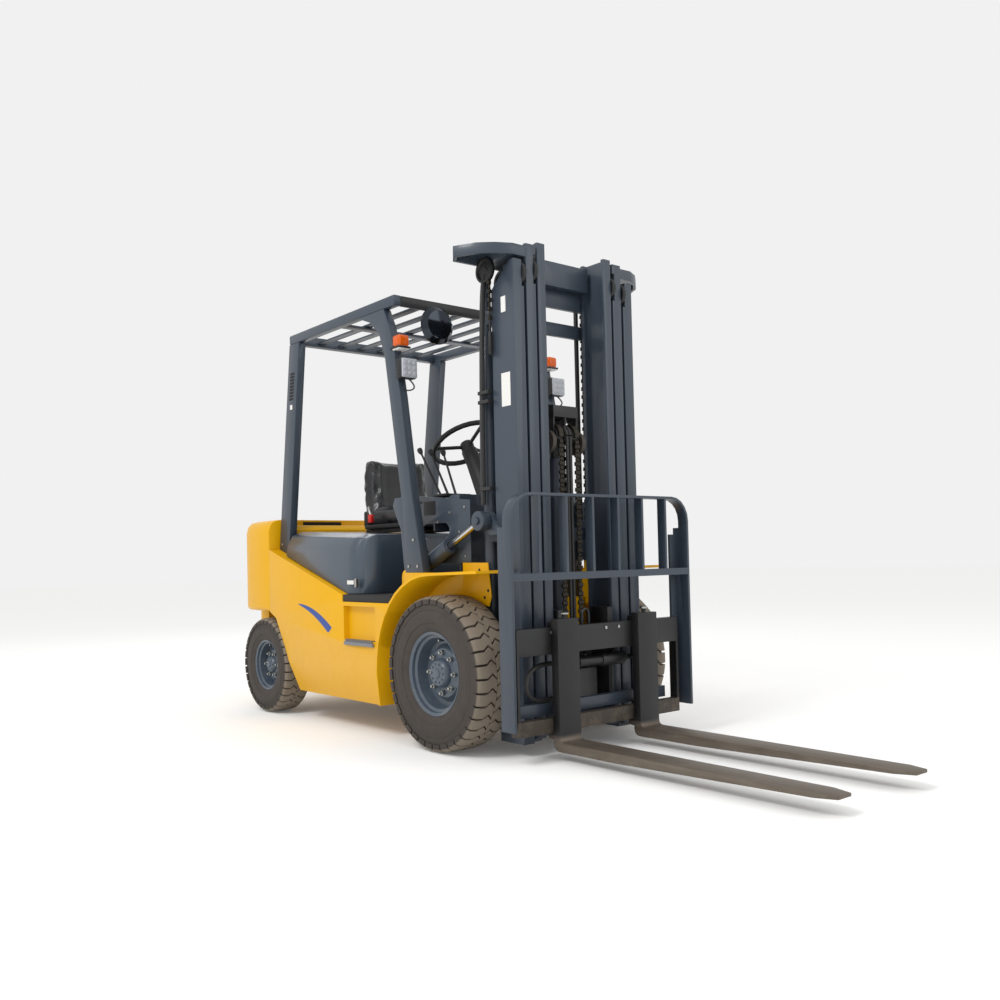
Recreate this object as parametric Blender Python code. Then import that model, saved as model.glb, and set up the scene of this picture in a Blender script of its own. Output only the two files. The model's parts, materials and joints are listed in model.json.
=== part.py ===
"""Counterbalance forklift truck with a three-stage mast, as separate solids in metres.

+Z is up, the forks point along -Y, and the left side of the truck is +X.
The origin is on the ground at the centre of the truck's outline.
"""
import math

import bmesh
import bpy
from mathutils import Matrix, Vector

for old in list(bpy.data.objects):
    bpy.data.objects.remove(old, do_unlink=True)

# Overall
wheelbase = 1.600
rear_overhang = 0.510       # rear axle to the tail
fork_length = 1.220
body_half = 0.560           # chassis side face
gap = 0.0003                # between pieces that rest on each other
running = 0.006             # between pieces that move past each other
bore_clearance = 0.0005     # a rod in its gland

# Wheels
front_tyre_radius = 0.337
front_tyre_half = 0.095
front_rim_radius = 0.178
front_track_half = 0.478
rear_tyre_radius = 0.262
rear_tyre_half = 0.0775
rear_rim_radius = 0.136
rear_track_half = 0.487
wheel_steps = 24
tyre_clearance = 0.085      # front arch around the tyre
fender_sheet = 0.012

# Chassis
floor_height = 0.667
floor_thickness = 0.035
chassis_bottom = 0.153
skin = 0.015
side_box_inner = 0.400
fender_half = 0.575
fender_inner = 0.375
web_thickness = 0.008
hood_line_rear = 0.903      # side panel's top edge at the counterweight
counterweight_top = 1.070
counterweight_corner = 0.300
counterweight_skirt = 0.560
hood_top_rear = 0.997
hood_top_front = 0.960
hood_wall = 0.012

# Mast
mast_depth = 0.149
mast_back_offset = 0.210    # rails' back face ahead of the front axle
fork_reach = 0.153          # forks' front face ahead of the rails
outer_rail_x = (0.304, 0.361)
middle_rail_x = (0.237, 0.290)
inner_rail_x = (0.180, 0.225)
rail_web = 0.015
rail_flange = 0.018
outer_rail_top = 2.085
middle_rail_top = 2.160
inner_rail_top = 2.175
mast_foot = 0.052
shoe = 0.015
pivot_behind_rail = 0.089
pivot_below_axle = 0.047
pivot_pin = 0.016
cross_plate = 0.018
lift_cylinder_x = 0.318
lift_barrel_radius = 0.032
lift_rod_radius = 0.020
lift_barrel_top = 1.800
free_lift_x = -0.050
free_lift_radius = 0.035
free_lift_top = 1.265
crosshead_top = 1.500
pulley_radius = 0.0525
pulley_height = 1.360
chain_spacing = 0.095
chain_width = 0.028
chain_thickness = 0.012

# Tilt cylinders
tilt_x = 0.410
tilt_eye_above_axle = 0.652
tilt_eye_behind_face = 0.192
tilt_base_behind_axle = 0.360
tilt_slope = math.radians(24.4)
tilt_barrel_radius = 0.036
tilt_rod_radius = 0.016
tilt_gland_from_eye = 0.246
tilt_pin = 0.013
tilt_boss_half = 0.024
tilt_neck = 0.062           # barrel's end from its base pin
tilt_rod_end = 0.166        # rod's inner end from the base pin
tilt_eye_clearance = 0.002  # the eye drifts a little about its pin

# Carriage, side shifter, backrest and forks
carriage_half = 0.450
shifter_half = 0.490
upper_bar = (0.430, 0.540)
lower_bar = (0.110, 0.170)
bar_depth = 0.042
fork_spacing_half = 0.2414
fork_width = 0.121
fork_thickness = 0.040
fork_bottom = 0.036
fork_top = 0.575
fork_tip_thickness = 0.012
backrest_half = 0.540
backrest_top = 1.090
backrest_bar = 0.012
backrest_depth = 0.082
backrest_corner = 0.110
backrest_cross = (0.735, 0.765)
shift_lug_x = (0.310, 0.330)  # clear of the barrel's end at full side shift

# Overhead guard
guard_leg = 0.043
guard_under = 2.020
guard_top = 2.070
guard_front = 0.340         # behind the front axle
guard_slats = 9

# Steering
kingpin_x = 0.365
steering_rake = math.radians(31.3)
steering_wheel_radius = 0.170
steering_centre_behind_axle = 0.450
steering_centre_height = 1.410

# Places that follow
mast_front_offset = mast_back_offset + mast_depth
pivot_height = front_tyre_radius - pivot_below_axle
tilt_eye_height = front_tyre_radius + tilt_eye_above_axle
front_overhang = mast_front_offset + fork_reach
length = fork_length + front_overhang + wheelbase + rear_overhang
front = -length / 2 + fork_length + front_overhang
rear = front + wheelbase
tail = rear + rear_overhang
rail_front = front - mast_front_offset
rail_back = rail_front + mast_depth
pivot_y = rail_back + pivot_behind_rail
fork_front = front - front_overhang
fork_back = fork_front + fork_thickness
seam = rear - 0.070         # chassis to counterweight
tilt_eye_y = rail_front + tilt_eye_behind_face
tilt_base = Vector((0, front + tilt_base_behind_axle,
                    tilt_eye_height - (front + tilt_base_behind_axle - tilt_eye_y) * math.tan(tilt_slope)))
tilt_eye = Vector((0, tilt_eye_y, tilt_eye_height))
guard_inner = tilt_x + tilt_barrel_radius + running
guard_outer = guard_inner + guard_leg


def material(name, colour, roughness, metallic=0.0):
    """Principled material with an sRGB colour given as three numbers from 0 to 1."""
    made = bpy.data.materials.new(name)
    made.use_nodes = True
    shader = made.node_tree.nodes["Principled BSDF"]
    linear = [((part + 0.055) / 1.055) ** 2.4 for part in colour]
    shader.inputs["Base Color"].default_value = (*linear, 1.0)
    shader.inputs["Roughness"].default_value = roughness
    shader.inputs["Metallic"].default_value = metallic
    made.diffuse_color = (*colour, 1.0)
    return made


yellow_paint = ("yellow_paint", (0.96, 0.71, 0.02), 0.35, 0.0)
grey_paint = ("grey_paint", (0.29, 0.33, 0.38), 0.45, 0.0)
black_paint = ("black_paint", (0.09, 0.09, 0.10), 0.50, 0.0)
rim_paint = ("rim_paint", (0.42, 0.46, 0.51), 0.45, 0.0)
tyre_rubber = ("tyre_rubber", (0.20, 0.19, 0.18), 0.85, 0.0)
black_rubber = ("black_rubber", (0.07, 0.07, 0.07), 0.80, 0.0)
black_plastic = ("black_plastic", (0.08, 0.08, 0.09), 0.55, 0.0)
fork_steel = ("fork_steel", (0.25, 0.23, 0.22), 0.60, 0.6)
chrome = ("chrome", (0.80, 0.80, 0.82), 0.15, 1.0)
cast_metal = ("cast_metal", (0.35, 0.36, 0.37), 0.60, 0.5)
chain_steel = ("chain_steel", (0.22, 0.21, 0.20), 0.50, 0.8)
seat_vinyl = ("seat_vinyl", (0.10, 0.10, 0.11), 0.55, 0.0)


def as_object(bm, smooth=False):
    """Closed mesh object from a bmesh, facing out."""
    bmesh.ops.recalc_face_normals(bm, faces=bm.faces)
    mesh = bpy.data.meshes.new("solid")
    bm.to_mesh(mesh)
    bm.free()
    if smooth:
        mesh.shade_smooth()
        mesh.set_sharp_from_angle(angle=math.radians(35))
    made = bpy.data.objects.new("solid", mesh)
    bpy.context.scene.collection.objects.link(made)
    return made


def box(x, y, z):
    """Box between two values on each axis."""
    bm = bmesh.new()
    bmesh.ops.create_cube(bm, size=1.0)
    size = Vector((abs(x[1] - x[0]), abs(y[1] - y[0]), abs(z[1] - z[0])))
    middle = Vector(((x[0] + x[1]) / 2, (y[0] + y[1]) / 2, (z[0] + z[1]) / 2))
    bmesh.ops.scale(bm, vec=size, verts=bm.verts)
    bmesh.ops.translate(bm, vec=middle, verts=bm.verts)
    return as_object(bm)


def prism(outline, axis, low, high):
    """Outline extruded along an axis. It is (y, z) for X, (x, z) for Y and (x, y) for Z."""
    def place(point, along):
        if axis == "X":
            return (along, point[0], point[1])
        if axis == "Y":
            return (point[0], along, point[1])
        return (point[0], point[1], along)

    bm = bmesh.new()
    first = [bm.verts.new(place(point, low)) for point in outline]
    second = [bm.verts.new(place(point, high)) for point in outline]
    bm.faces.new(first)
    bm.faces.new(second)
    for index in range(len(outline)):
        after = (index + 1) % len(outline)
        bm.faces.new((first[index], first[after], second[after], second[index]))
    return as_object(bm)


def turned(profile, centre, axis, steps=16, ring=False):
    """Profile of (radius, distance along the axis) turned about the axis."""
    frame = Vector(axis).to_track_quat("Z", "Y").to_matrix().to_4x4()
    frame.translation = Vector(centre)
    bm = bmesh.new()
    loops = []
    for radius, along in profile:
        count = steps if radius > 0 else 1
        turns = [math.tau * index / steps for index in range(count)]
        points = [Vector((radius * math.cos(turn), radius * math.sin(turn), along)) for turn in turns]
        loops.append([bm.verts.new(frame @ point) for point in points])
    pairs = list(zip(loops, loops[1:]))
    if ring:
        pairs.append((loops[-1], loops[0]))
    for one, two in pairs:
        for index in range(steps):
            after = (index + 1) % steps
            corners = []
            for loop, place in ((one, index), (one, after), (two, after), (two, index)):
                vert = loop[place % len(loop)]
                if vert not in corners:
                    corners.append(vert)
            if len(corners) > 2:
                bm.faces.new(corners)
    return as_object(bm, smooth=True)


def rod(start, end, radius, steps=16):
    """Solid cylinder between two points."""
    along = Vector(end) - Vector(start)
    reach = along.length
    return turned([(0, 0), (radius, 0), (radius, reach), (0, reach)], start, along, steps)


def bore_for(pin, clearance, steps):
    """Radius of a faceted hole that leaves a clearance all round a pin."""
    return (pin + clearance) / math.cos(math.pi / steps)


def arc(centre, radius, start, end, count):
    """Points on an arc in degrees, ends included."""
    points = []
    for index in range(count + 1):
        turn = math.radians(start + (end - start) * index / count)
        points.append((centre[0] + radius * math.cos(turn), centre[1] + radius * math.sin(turn)))
    return points


def hide_tool(tool):
    """Mark an operand of a Boolean as a guide."""
    tool.hide_render = True
    tool.display_type = "WIRE"
    tool.name = "tool"


def node(name, solids, paint, cuts=(), origin=(0.0, 0.0, 0.0)):
    """One named sub-part: the union of its solids less its cuts, with its origin placed."""
    base = solids[0]
    base.name = name
    base.data.name = name
    for tool, kind in [(solid, "UNION") for solid in solids[1:]] + [(cut, "DIFFERENCE") for cut in cuts]:
        step = base.modifiers.new(kind.lower(), "BOOLEAN")
        step.object = tool
        step.operation = kind
        step.solver = "EXACT"
        hide_tool(tool)
    base.data.transform(Matrix.Translation(-Vector(origin)))
    base.location = origin
    base.data.materials.append(material(name + "_" + paint[0], *paint[1:]))
    return base


# Wheels

def make_tyre(name, place, side, radius, half, bead_radius, bead_half):
    shoulder = half * 0.80
    profile = [
        (bead_radius + gap, -bead_half),
        (bead_radius + 0.020, -half * 0.93),
        (bead_radius + (radius - bead_radius) * 0.5, -half),
        (radius * 0.93, -half * 0.97),
        (radius * 0.985, -shoulder),
        (radius, -half * 0.45),
    ]
    profile += [(reach, -along) for reach, along in reversed(profile)]
    tyre = turned(profile, place, (side, 0, 0), wheel_steps, ring=True)
    return node(name, [tyre], tyre_rubber, origin=place)


def make_rim(name, place, side, seat, bead_half, hub, hub_out, disc_face, disc_back):
    bowl = seat * 0.845
    profile = [
        (0, hub_out),
        (hub * 0.88, hub_out),
        (hub, hub_out - 0.010),
        (hub * 1.05, disc_face),
        (bowl, disc_face),
        (seat * 0.90, bead_half - 0.004),
        (seat, bead_half),
        (seat, -bead_half),
        (seat * 0.90, -bead_half),
        (bowl, disc_back),
        (0, disc_back),
    ]
    return node(name, [turned(profile, place, (side, 0, 0), wheel_steps)], rim_paint, origin=place)


front_bead_half = front_tyre_half * 0.80
rear_bead_half = rear_tyre_half * 0.80
front_disc_back = -0.008
rear_disc_back = -0.010
for side, word in ((1, "left"), (-1, "right")):
    hub_place = (side * front_track_half, front, front_tyre_radius)
    make_tyre("front_tyre_" + word, hub_place, side, front_tyre_radius, front_tyre_half,
              front_rim_radius, front_bead_half)
    make_rim("front_rim_" + word, hub_place, side, front_rim_radius, front_bead_half,
             0.078, 0.072, 0.022, front_disc_back)
    hub_place = (side * rear_track_half, rear, rear_tyre_radius)
    make_tyre("rear_tyre_" + word, hub_place, side, rear_tyre_radius, rear_tyre_half,
              rear_rim_radius, rear_bead_half)
    make_rim("rear_rim_" + word, hub_place, side, rear_rim_radius, rear_bead_half,
             0.055, 0.055, 0.015, rear_disc_back)


# Axles and steering knuckles

ear_reach = 0.035
lug_x = (0.215, 0.243)
ear_x = (lug_x[1] + gap, lug_x[1] + 0.025)
drum_end = front_track_half + front_disc_back - gap


def make_drive_axle():
    axle_z = front_tyre_radius
    half_profile = [(0.150, 0.055), (0.110, 0.125), (0.068, 0.155), (0.068, 0.322), (0.085, 0.322),
                    (0.085, 0.352), (0.132, 0.352), (0.132, drum_end), (0, drum_end)]
    profile = [(reach, -along) for reach, along in reversed(half_profile)] + half_profile
    solids = [turned(profile, (0, front, axle_z), (1, 0, 0), 20)]
    cuts = []
    for side in (1, -1):
        outline = arc((pivot_y, pivot_height), ear_reach, 90, 270, 6)
        outline += [(front + 0.012, pivot_height - ear_reach + 0.004),
                    (front + 0.012, pivot_height + ear_reach)]
        solids.append(prism(outline, "X", side * ear_x[0], side * ear_x[1]))
        pad = box((side * 0.240, side * 0.330), (front - 0.045, front + 0.045),
                  (axle_z, axle_z + 0.085))
        solids.append(pad)
        hole = bore_for(pivot_pin, gap, 16)
        cuts.append(rod((side * (ear_x[0] - 0.01), pivot_y, pivot_height),
                        (side * (ear_x[1] + 0.01), pivot_y, pivot_height), hole))
    return node("drive_axle", solids, cast_metal, cuts)


make_drive_axle()

knuckle_half = 0.070
knuckle_radius = 0.030
yoke_end = 0.036
yoke_plate = 0.020
axle_beam_half = 0.058
steer_pedestal = 0.140


def make_steer_axle():
    z = rear_tyre_radius
    solids = [box((-0.300, 0.300), (rear - 0.050, rear + 0.050), (z - axle_beam_half, z + axle_beam_half))]
    for side in (1, -1):
        post = box((side * 0.270, side * 0.312), (rear - 0.036, rear + 0.036),
                   (z - knuckle_half - yoke_plate, z + knuckle_half + yoke_plate))
        solids.append(post)
        for low in (z + knuckle_half + gap, z - knuckle_half - gap - yoke_plate):
            outline = [(side * 0.275, rear + yoke_end), (side * 0.275, rear - yoke_end)]
            turn = arc((side * kingpin_x, rear), yoke_end, -90, 90 if side > 0 else -270, 8)
            solids.append(prism(outline + turn, "Z", low, low + yoke_plate))
    solids.append(box((-0.080, 0.080), (rear - 0.045, rear + 0.045), (z, z + steer_pedestal)))
    return node("steer_axle", solids, cast_metal)


make_steer_axle()
spindle_end = rear_track_half + rear_disc_back - gap
for side, word in ((1, "left"), (-1, "right")):
    z = rear_tyre_radius
    pin = rod((side * kingpin_x, rear, z - knuckle_half), (side * kingpin_x, rear, z + knuckle_half),
              knuckle_radius)
    spindle = rod((side * kingpin_x, rear, z), (side * spindle_end, rear, z), 0.042)
    node("steer_knuckle_" + word, [pin, spindle], cast_metal, origin=(side * kingpin_x, rear, z))


# Chassis

floor_under = floor_height - floor_thickness
step_rear = front + 0.750
rear_arch_radius = 0.345        # what the turned rear tyre sweeps, and room
axle_frame_half = 0.180         # inside the turned rear tyres
front_arch = front_tyre_radius + tyre_clearance
side_front = front + front_arch + 0.014
arch_low_turn = 5.0             # degrees above level where the arch meets the panel
floor_turn = math.degrees(math.asin((floor_under - gap - front_tyre_radius) / front_arch))
arch_high_turn = floor_turn - 8.3
panel_corner = front + front_arch * math.cos(math.radians(arch_high_turn)) - 0.0114
fender_nose = front - 0.330
foot_top = front_tyre_radius + front_arch + fender_sheet


def slope_height(y):
    """Height of the side panel's sloping top edge."""
    rise = (hood_line_rear - floor_height) / (seam - step_rear)
    return floor_height + (y - step_rear) * rise


def make_chassis():
    arch_line = arc((front, front_tyre_radius), front_arch, arch_low_turn, 90, 9)
    upper_line = arc((front, front_tyre_radius), front_arch + fender_sheet, 90, arch_low_turn, 9)
    panel_top = [
        (seam - gap, slope_height(seam)),
        (step_rear, floor_height),
        (step_rear, floor_under - gap),
        (panel_corner, floor_under - gap),
    ]
    arch_back = arc((front, front_tyre_radius), front_arch, arch_high_turn, arch_low_turn, 4)
    skin_outline = [
        (side_front, chassis_bottom),
        (rear - 0.364, chassis_bottom),
        (rear - 0.288, 0.290),
        (rear - 0.252, 0.359),
        (rear - 0.142, 0.527),
        (seam - gap, counterweight_skirt),
    ]
    skin_outline += panel_top
    skin_outline += arch_back
    inner_rear = rear - rear_arch_radius
    box_outline = [
        (side_front, chassis_bottom + 0.010),
        (inner_rear, chassis_bottom + 0.010),
        (inner_rear, counterweight_skirt),
        (seam - gap, counterweight_skirt),
    ]
    box_outline += panel_top
    box_outline += arch_back
    sheet = [(fender_nose, front_tyre_radius + front_arch + 0.008)]
    sheet += list(reversed(arch_line))
    sheet += [(side_front - 0.001, chassis_bottom), (side_front + fender_sheet, chassis_bottom)]
    sheet += list(reversed(upper_line))
    sheet += [(fender_nose, front_tyre_radius + front_arch + fender_sheet + 0.008)]
    solids = []
    cuts = []
    for side in (1, -1):
        solids.append(prism(box_outline, "X", side * side_box_inner, side * (body_half - skin / 2)))
        solids.append(prism(skin_outline, "X", side * (body_half - skin), side * body_half))
        solids.append(prism(sheet, "X", side * fender_inner, side * fender_half))
        web_top = front_tyre_radius + front_arch + 0.004
        web = [(front - 0.100, web_top), (front - 0.100, 0.660), (front - 0.020, 0.500),
               (side_front + 0.004, 0.500), (side_front + 0.004, floor_under), (front + 0.300, floor_under),
               (front + 0.200, web_top)]
        solids.append(prism(web, "X", side * (fender_inner - web_thickness), side * (fender_inner + 0.002)))
        member_under = front_tyre_radius + 0.085 + gap
        member = [(front - 0.040, member_under), (front + 0.060, member_under), (side_front + 0.004, 0.300),
                  (side_front + 0.004, floor_under - gap), (front - 0.040, floor_under - gap)]
        solids.append(prism(member, "X", side * 0.290, side * 0.330))
        foot_y = (0.120, 0.300)
        foot_turns = [math.degrees(math.acos(reach / (front_arch + 0.004))) for reach in foot_y]
        foot = arc((front, front_tyre_radius), front_arch + 0.004, foot_turns[0], foot_turns[1], 4)
        foot += [(front + foot_y[1], foot_top), (front + foot_y[0], foot_top)]
        solids.append(prism(foot, "X", side * guard_inner, side * guard_outer))
        ear = arc((tilt_base.y, tilt_base.z), 0.034, 0, 180, 6)
        ear += [(tilt_base.y - 0.034, 0.600), (tilt_base.y + 0.034, 0.600)]
        for x in (tilt_x + tilt_boss_half + gap, tilt_x - tilt_boss_half - gap - 0.010):
            solids.append(prism(ear, "X", side * x, side * (x + 0.010)))
        cuts.append(rod((side * (tilt_x - 0.060), tilt_base.y, tilt_base.z),
                        (side * (tilt_x + 0.060), tilt_base.y, tilt_base.z),
                        bore_for(tilt_pin, gap, 12), 12))
        solids.append(box((side * 0.190, side * 0.250), (side_front - 0.016, rear - 0.330), (0.200, 0.250)))
        cuts.append(box((side * (body_half - 0.030), side * (body_half + 0.010)),
                        (side_front + 0.019, step_rear - 0.012), (0.448, floor_under - 0.020)))
    web_y = (side_front - 0.016, side_front + 0.004)
    solids.append(box((-0.410, 0.410), web_y, (0.180, floor_under - gap)))
    solids.append(box((-0.410, 0.410), (rear - 0.350, rear - 0.330), (0.180, 0.620)))
    solids.append(box((-axle_frame_half, axle_frame_half), (rear - 0.335, rear + 0.060),
                      (rear_tyre_radius + steer_pedestal + gap, 0.430)))
    solids.append(box((-0.410, 0.410), (seam - 0.110, seam - gap), (0.5605, slope_height(seam))))
    solids.append(box((-axle_frame_half, axle_frame_half), (seam - 0.110, seam - gap), (0.425, 0.570)))
    return node("chassis_frame", solids, yellow_paint, cuts)


make_chassis()

floor_outline = []
for side in (1, -1):
    half = [(side * 0.360, front + 0.055), (side * 0.360, tilt_base.y + 0.045),
            (side * guard_inner, tilt_base.y + 0.045), (side * guard_inner, panel_corner),
            (side * (body_half - 0.004), panel_corner), (side * (body_half - 0.004), step_rear - gap)]
    floor_outline += half if side > 0 else list(reversed(half))
node("floor_plate", [prism(floor_outline, "Z", floor_under, floor_height)], black_rubber)

node("engine_block", [box((-0.260, 0.260), (front + 0.800, rear - 0.365), (0.250 + gap, 0.800))], cast_metal)


def counterweight_outline(inset):
    """Plan of the counterweight, with its rear corners rounded."""
    half = body_half - inset
    back = tail - inset
    corner = counterweight_corner - inset
    points = [(half, seam)]
    points += arc((half - corner, back - corner), corner, 0, 90, 6)
    points += [(-x, y) for x, y in reversed(points)]
    return points


def make_counterweight():
    levels = [
        (counterweight_skirt, 0.012),
        (counterweight_skirt + 0.015, 0.0),
        (counterweight_top - 0.070, 0.0),
        (counterweight_top - 0.030, 0.010),
        (counterweight_top - 0.008, 0.034),
        (counterweight_top, 0.065),
    ]
    bm = bmesh.new()
    rings = []
    for height, inset in levels:
        rings.append([bm.verts.new((x, y, height)) for x, y in counterweight_outline(inset)])
    bm.faces.new(rings[0])
    bm.faces.new(rings[-1])
    for one, two in zip(rings, rings[1:]):
        for index in range(len(one)):
            after = (index + 1) % len(one)
            bm.faces.new((one[index], one[after], two[after], two[index]))
    solids = [as_object(bm)]
    solids.append(box((-0.135, 0.135), (rear + 0.090, tail - 0.100), (0.250, counterweight_skirt + 0.02)))
    solids.append(box((-0.400, 0.400), (rear + 0.345, tail - 0.070), (0.300, counterweight_skirt + 0.02)))
    cuts = [box((-0.330, 0.330), (seam + 0.060, seam + 0.150), (counterweight_top - 0.050, 2.0))]
    return node("counterweight", solids, yellow_paint, cuts)


make_counterweight()

cover_under = slope_height(seam) + gap
cover_outline = [(seam - 0.105, cover_under), (seam - gap, cover_under), (seam - gap, 1.035),
                 (seam - 0.080, 1.035), (seam - 0.105, 1.010)]
node("radiator_cover", [prism(cover_outline, "X", -0.440, 0.440)], yellow_paint)


# Hood and seat

hood_front = front + 0.620
hood_rear = seam - 0.140
hinge_height = hood_top_rear - 0.015


def hood_top(y):
    """Height of the hood's sloping top."""
    share = (y - hood_front) / (hood_rear - hood_front)
    return hood_top_front + (hood_top_rear - hood_top_front) * share


def hood_loop(inset, top_inset, floor_lift):
    """Corners of the hood's outline at its lower edge, its waist and its top."""
    low_half = 0.530 - inset
    waist_half = 0.520 - inset
    top_half = 0.430 - inset
    stations = [(hood_front + inset, floor_height + gap), (step_rear, floor_height + gap),
                (hood_rear - inset, slope_height(hood_rear) + running)]
    rows = []
    for y, low in stations:
        top = hood_top(y) - top_inset
        waist = top - 0.075
        rows.append([(low_half, y, low + floor_lift), (waist_half, y, waist),
                     (waist_half - 0.030, y, top - 0.020), (top_half, y, top)])
    return rows


def hood_solid(inset, top_inset, floor_lift):
    bm = bmesh.new()
    sections = []
    for row in hood_loop(inset, top_inset, floor_lift):
        points = row + [(-x, y, z) for x, y, z in reversed(row)]
        sections.append([bm.verts.new(point) for point in points])
    bm.faces.new(sections[0])
    bm.faces.new(sections[-1])
    for one, two in zip(sections, sections[1:]):
        for index in range(len(one)):
            after = (index + 1) % len(one)
            bm.faces.new((one[index], one[after], two[after], two[index]))
    return as_object(bm)


node("hood", [hood_solid(0.0, 0.0, 0.0)], grey_paint, [hood_solid(hood_wall, hood_wall, -0.100)],
     origin=(0, hood_rear, hinge_height))

seat_front = front + 0.680
seat_back = front + 1.230
seat_half = 0.235
seat_under = hood_top_rear + gap


def make_seat():
    cushion = [(seat_front, seat_under + 0.020), (seat_back - 0.060, seat_under + 0.020),
               (seat_back - 0.060, seat_under + 0.085), (seat_front + 0.030, seat_under + 0.105),
               (seat_front, seat_under + 0.075)]
    back = [(seat_back - 0.130, seat_under + 0.030), (seat_back - 0.020, seat_under + 0.020),
            (seat_back + 0.030, seat_under + 0.370), (seat_back - 0.030, seat_under + 0.395),
            (seat_back - 0.075, seat_under + 0.370)]
    base_y = (seat_front + 0.040, seat_back - 0.060)
    base = [(base_y[0], hood_top(base_y[0]) + gap), (base_y[1], hood_top(base_y[1]) + gap),
            (base_y[1], seat_under + 0.030), (base_y[0], seat_under + 0.030)]
    solids = [prism(cushion, "X", -seat_half, seat_half), prism(back, "X", -seat_half, seat_half)]
    solids.append(prism(base, "X", -0.200, 0.200))
    return node("driver_seat", solids, seat_vinyl, origin=(0, hood_rear, hinge_height))


make_seat()


# Cowl, steering column, steering wheel and levers

rake = Vector((0, math.sin(steering_rake), math.cos(steering_rake)))
wheel_centre = Vector((0, front + steering_centre_behind_axle, steering_centre_height))
dash_low = Vector((0, front + 0.264, 1.020))
dash_high = Vector((0, front + 0.100, 1.020 + 0.164 * math.tan(steering_rake)))
column_reach = (wheel_centre - dash_low).dot(rake)
cowl_plate = 0.006
cowl_plate_x = (tilt_x - tilt_barrel_radius - 0.005 - cowl_plate, tilt_x - tilt_barrel_radius - 0.005)
cowl_half = cowl_plate_x[0] + 0.002
cowl_plate_front = front - 0.040  # behind the mast's ears at full back tilt


def make_cowl():
    panel_y = (front + 0.040, front + 0.050)
    dash = [(panel_y[0], 0.960), (dash_low.y, 0.960), (dash_low.y, dash_low.z), (dash_high.y, dash_high.z),
            (panel_y[0], dash_high.z)]
    solids = [box((-cowl_half, cowl_half), panel_y, (floor_under, dash_high.z - 0.005))]
    solids.append(prism(dash, "X", -cowl_half, cowl_half))
    cuts = [box((-0.350, 0.350), (panel_y[1], dash_low.y - 0.012), (0.900, 1.000))]
    for side in (1, -1):
        plate = [(cowl_plate_front, 0.810), (front + 0.230, 0.810), (front + 0.390, 0.980),
                 (front + 0.360, 1.130), (cowl_plate_front, 1.090)]
        solids.append(prism(plate, "X", side * cowl_plate_x[0], side * cowl_plate_x[1]))
        hole = arc((front + 0.290, 0.960), 0.035, -90, 90, 5)
        hole += arc((front + 0.150, 0.960), 0.035, 90, 270, 5)
        cuts.append(prism(hole, "X", side * 0.350, side * 0.380))
    return node("cowl", solids, grey_paint, cuts)


make_cowl()

column_profile = [(0, -column_reach + gap), (0.070, -column_reach + gap), (0.055, -column_reach + 0.100),
                  (0.040, -0.120), (0.040, -0.045), (0, -0.045)]
node("steering_column", [turned(column_profile, wheel_centre, rake, 14)], black_plastic)


def make_steering_wheel():
    ring = []
    for index in range(8):
        turn = math.tau * index / 8
        ring.append((steering_wheel_radius + 0.013 * math.cos(turn), 0.013 * math.sin(turn)))
    solids = [turned(ring, wheel_centre, rake, 28, ring=True)]
    hub = [(0, -0.044), (0.032, -0.044), (0.036, -0.012), (0.030, 0.002), (0, 0.004)]
    solids.append(turned(hub, wheel_centre, rake, 14))
    across = Vector((1, 0, 0))
    down = rake.cross(across)
    for turn in (-20, 200, 90):
        angle = math.radians(turn)
        out = across * math.cos(angle) - down * math.sin(angle)
        start = wheel_centre + out * 0.020 - rake * 0.020
        solids.append(rod(start, wheel_centre + out * steering_wheel_radius, 0.009, 8))
    return node("steering_wheel", solids, black_plastic, origin=wheel_centre)


make_steering_wheel()


def make_levers():
    base_z = dash_high.z + gap
    solids = [box((-0.320, -0.160), (front + 0.050, front + 0.098), (base_z, base_z + 0.030))]
    for index in range(3):
        x = -0.195 - 0.045 * index
        foot = Vector((x, front + 0.074, base_z + 0.020))
        knee = Vector((x - 0.010, front + 0.200, base_z + 0.150))
        knob = Vector((x - 0.020, front + 0.235, base_z + 0.215))
        solids.append(rod(foot, knee, 0.006, 8))
        solids.append(turned([(0, -0.006), (0.006, -0.006), (0.006, 0.050), (0.017, 0.062), (0.017, 0.080),
                              (0, 0.088)], knee, knob - knee, 8))
    return node("control_levers", solids, black_plastic)


make_levers()


# Overhead guard

guard_y = (front + guard_front, seam - 0.160)


def make_roof():
    solids = []
    for side in (1, -1):
        solids.append(box((side * guard_inner, side * guard_outer), guard_y, (guard_under, guard_top)))
    for y in ((guard_y[0], guard_y[0] + 0.045), (guard_y[1] - 0.060, guard_y[1])):
        solids.append(box((-guard_inner - 0.010, guard_inner + 0.010), y, (guard_under, guard_top)))
    middle = (guard_y[0] + guard_y[1]) / 2
    solids.append(box((-guard_inner - 0.010, guard_inner + 0.010), (middle - 0.020, middle + 0.020),
                      (guard_under + 0.002, guard_under + 0.022)))
    pitch = 2 * guard_inner / (guard_slats + 1)
    for index in range(guard_slats):
        x = -guard_inner + pitch * (index + 1)
        solids.append(box((x - 0.008, x + 0.008), (guard_y[0] + 0.010, guard_y[1] - 0.010),
                          (guard_under + 0.012, guard_top - 0.004)))
    return node("guard_roof", solids, grey_paint)


make_roof()

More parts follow.
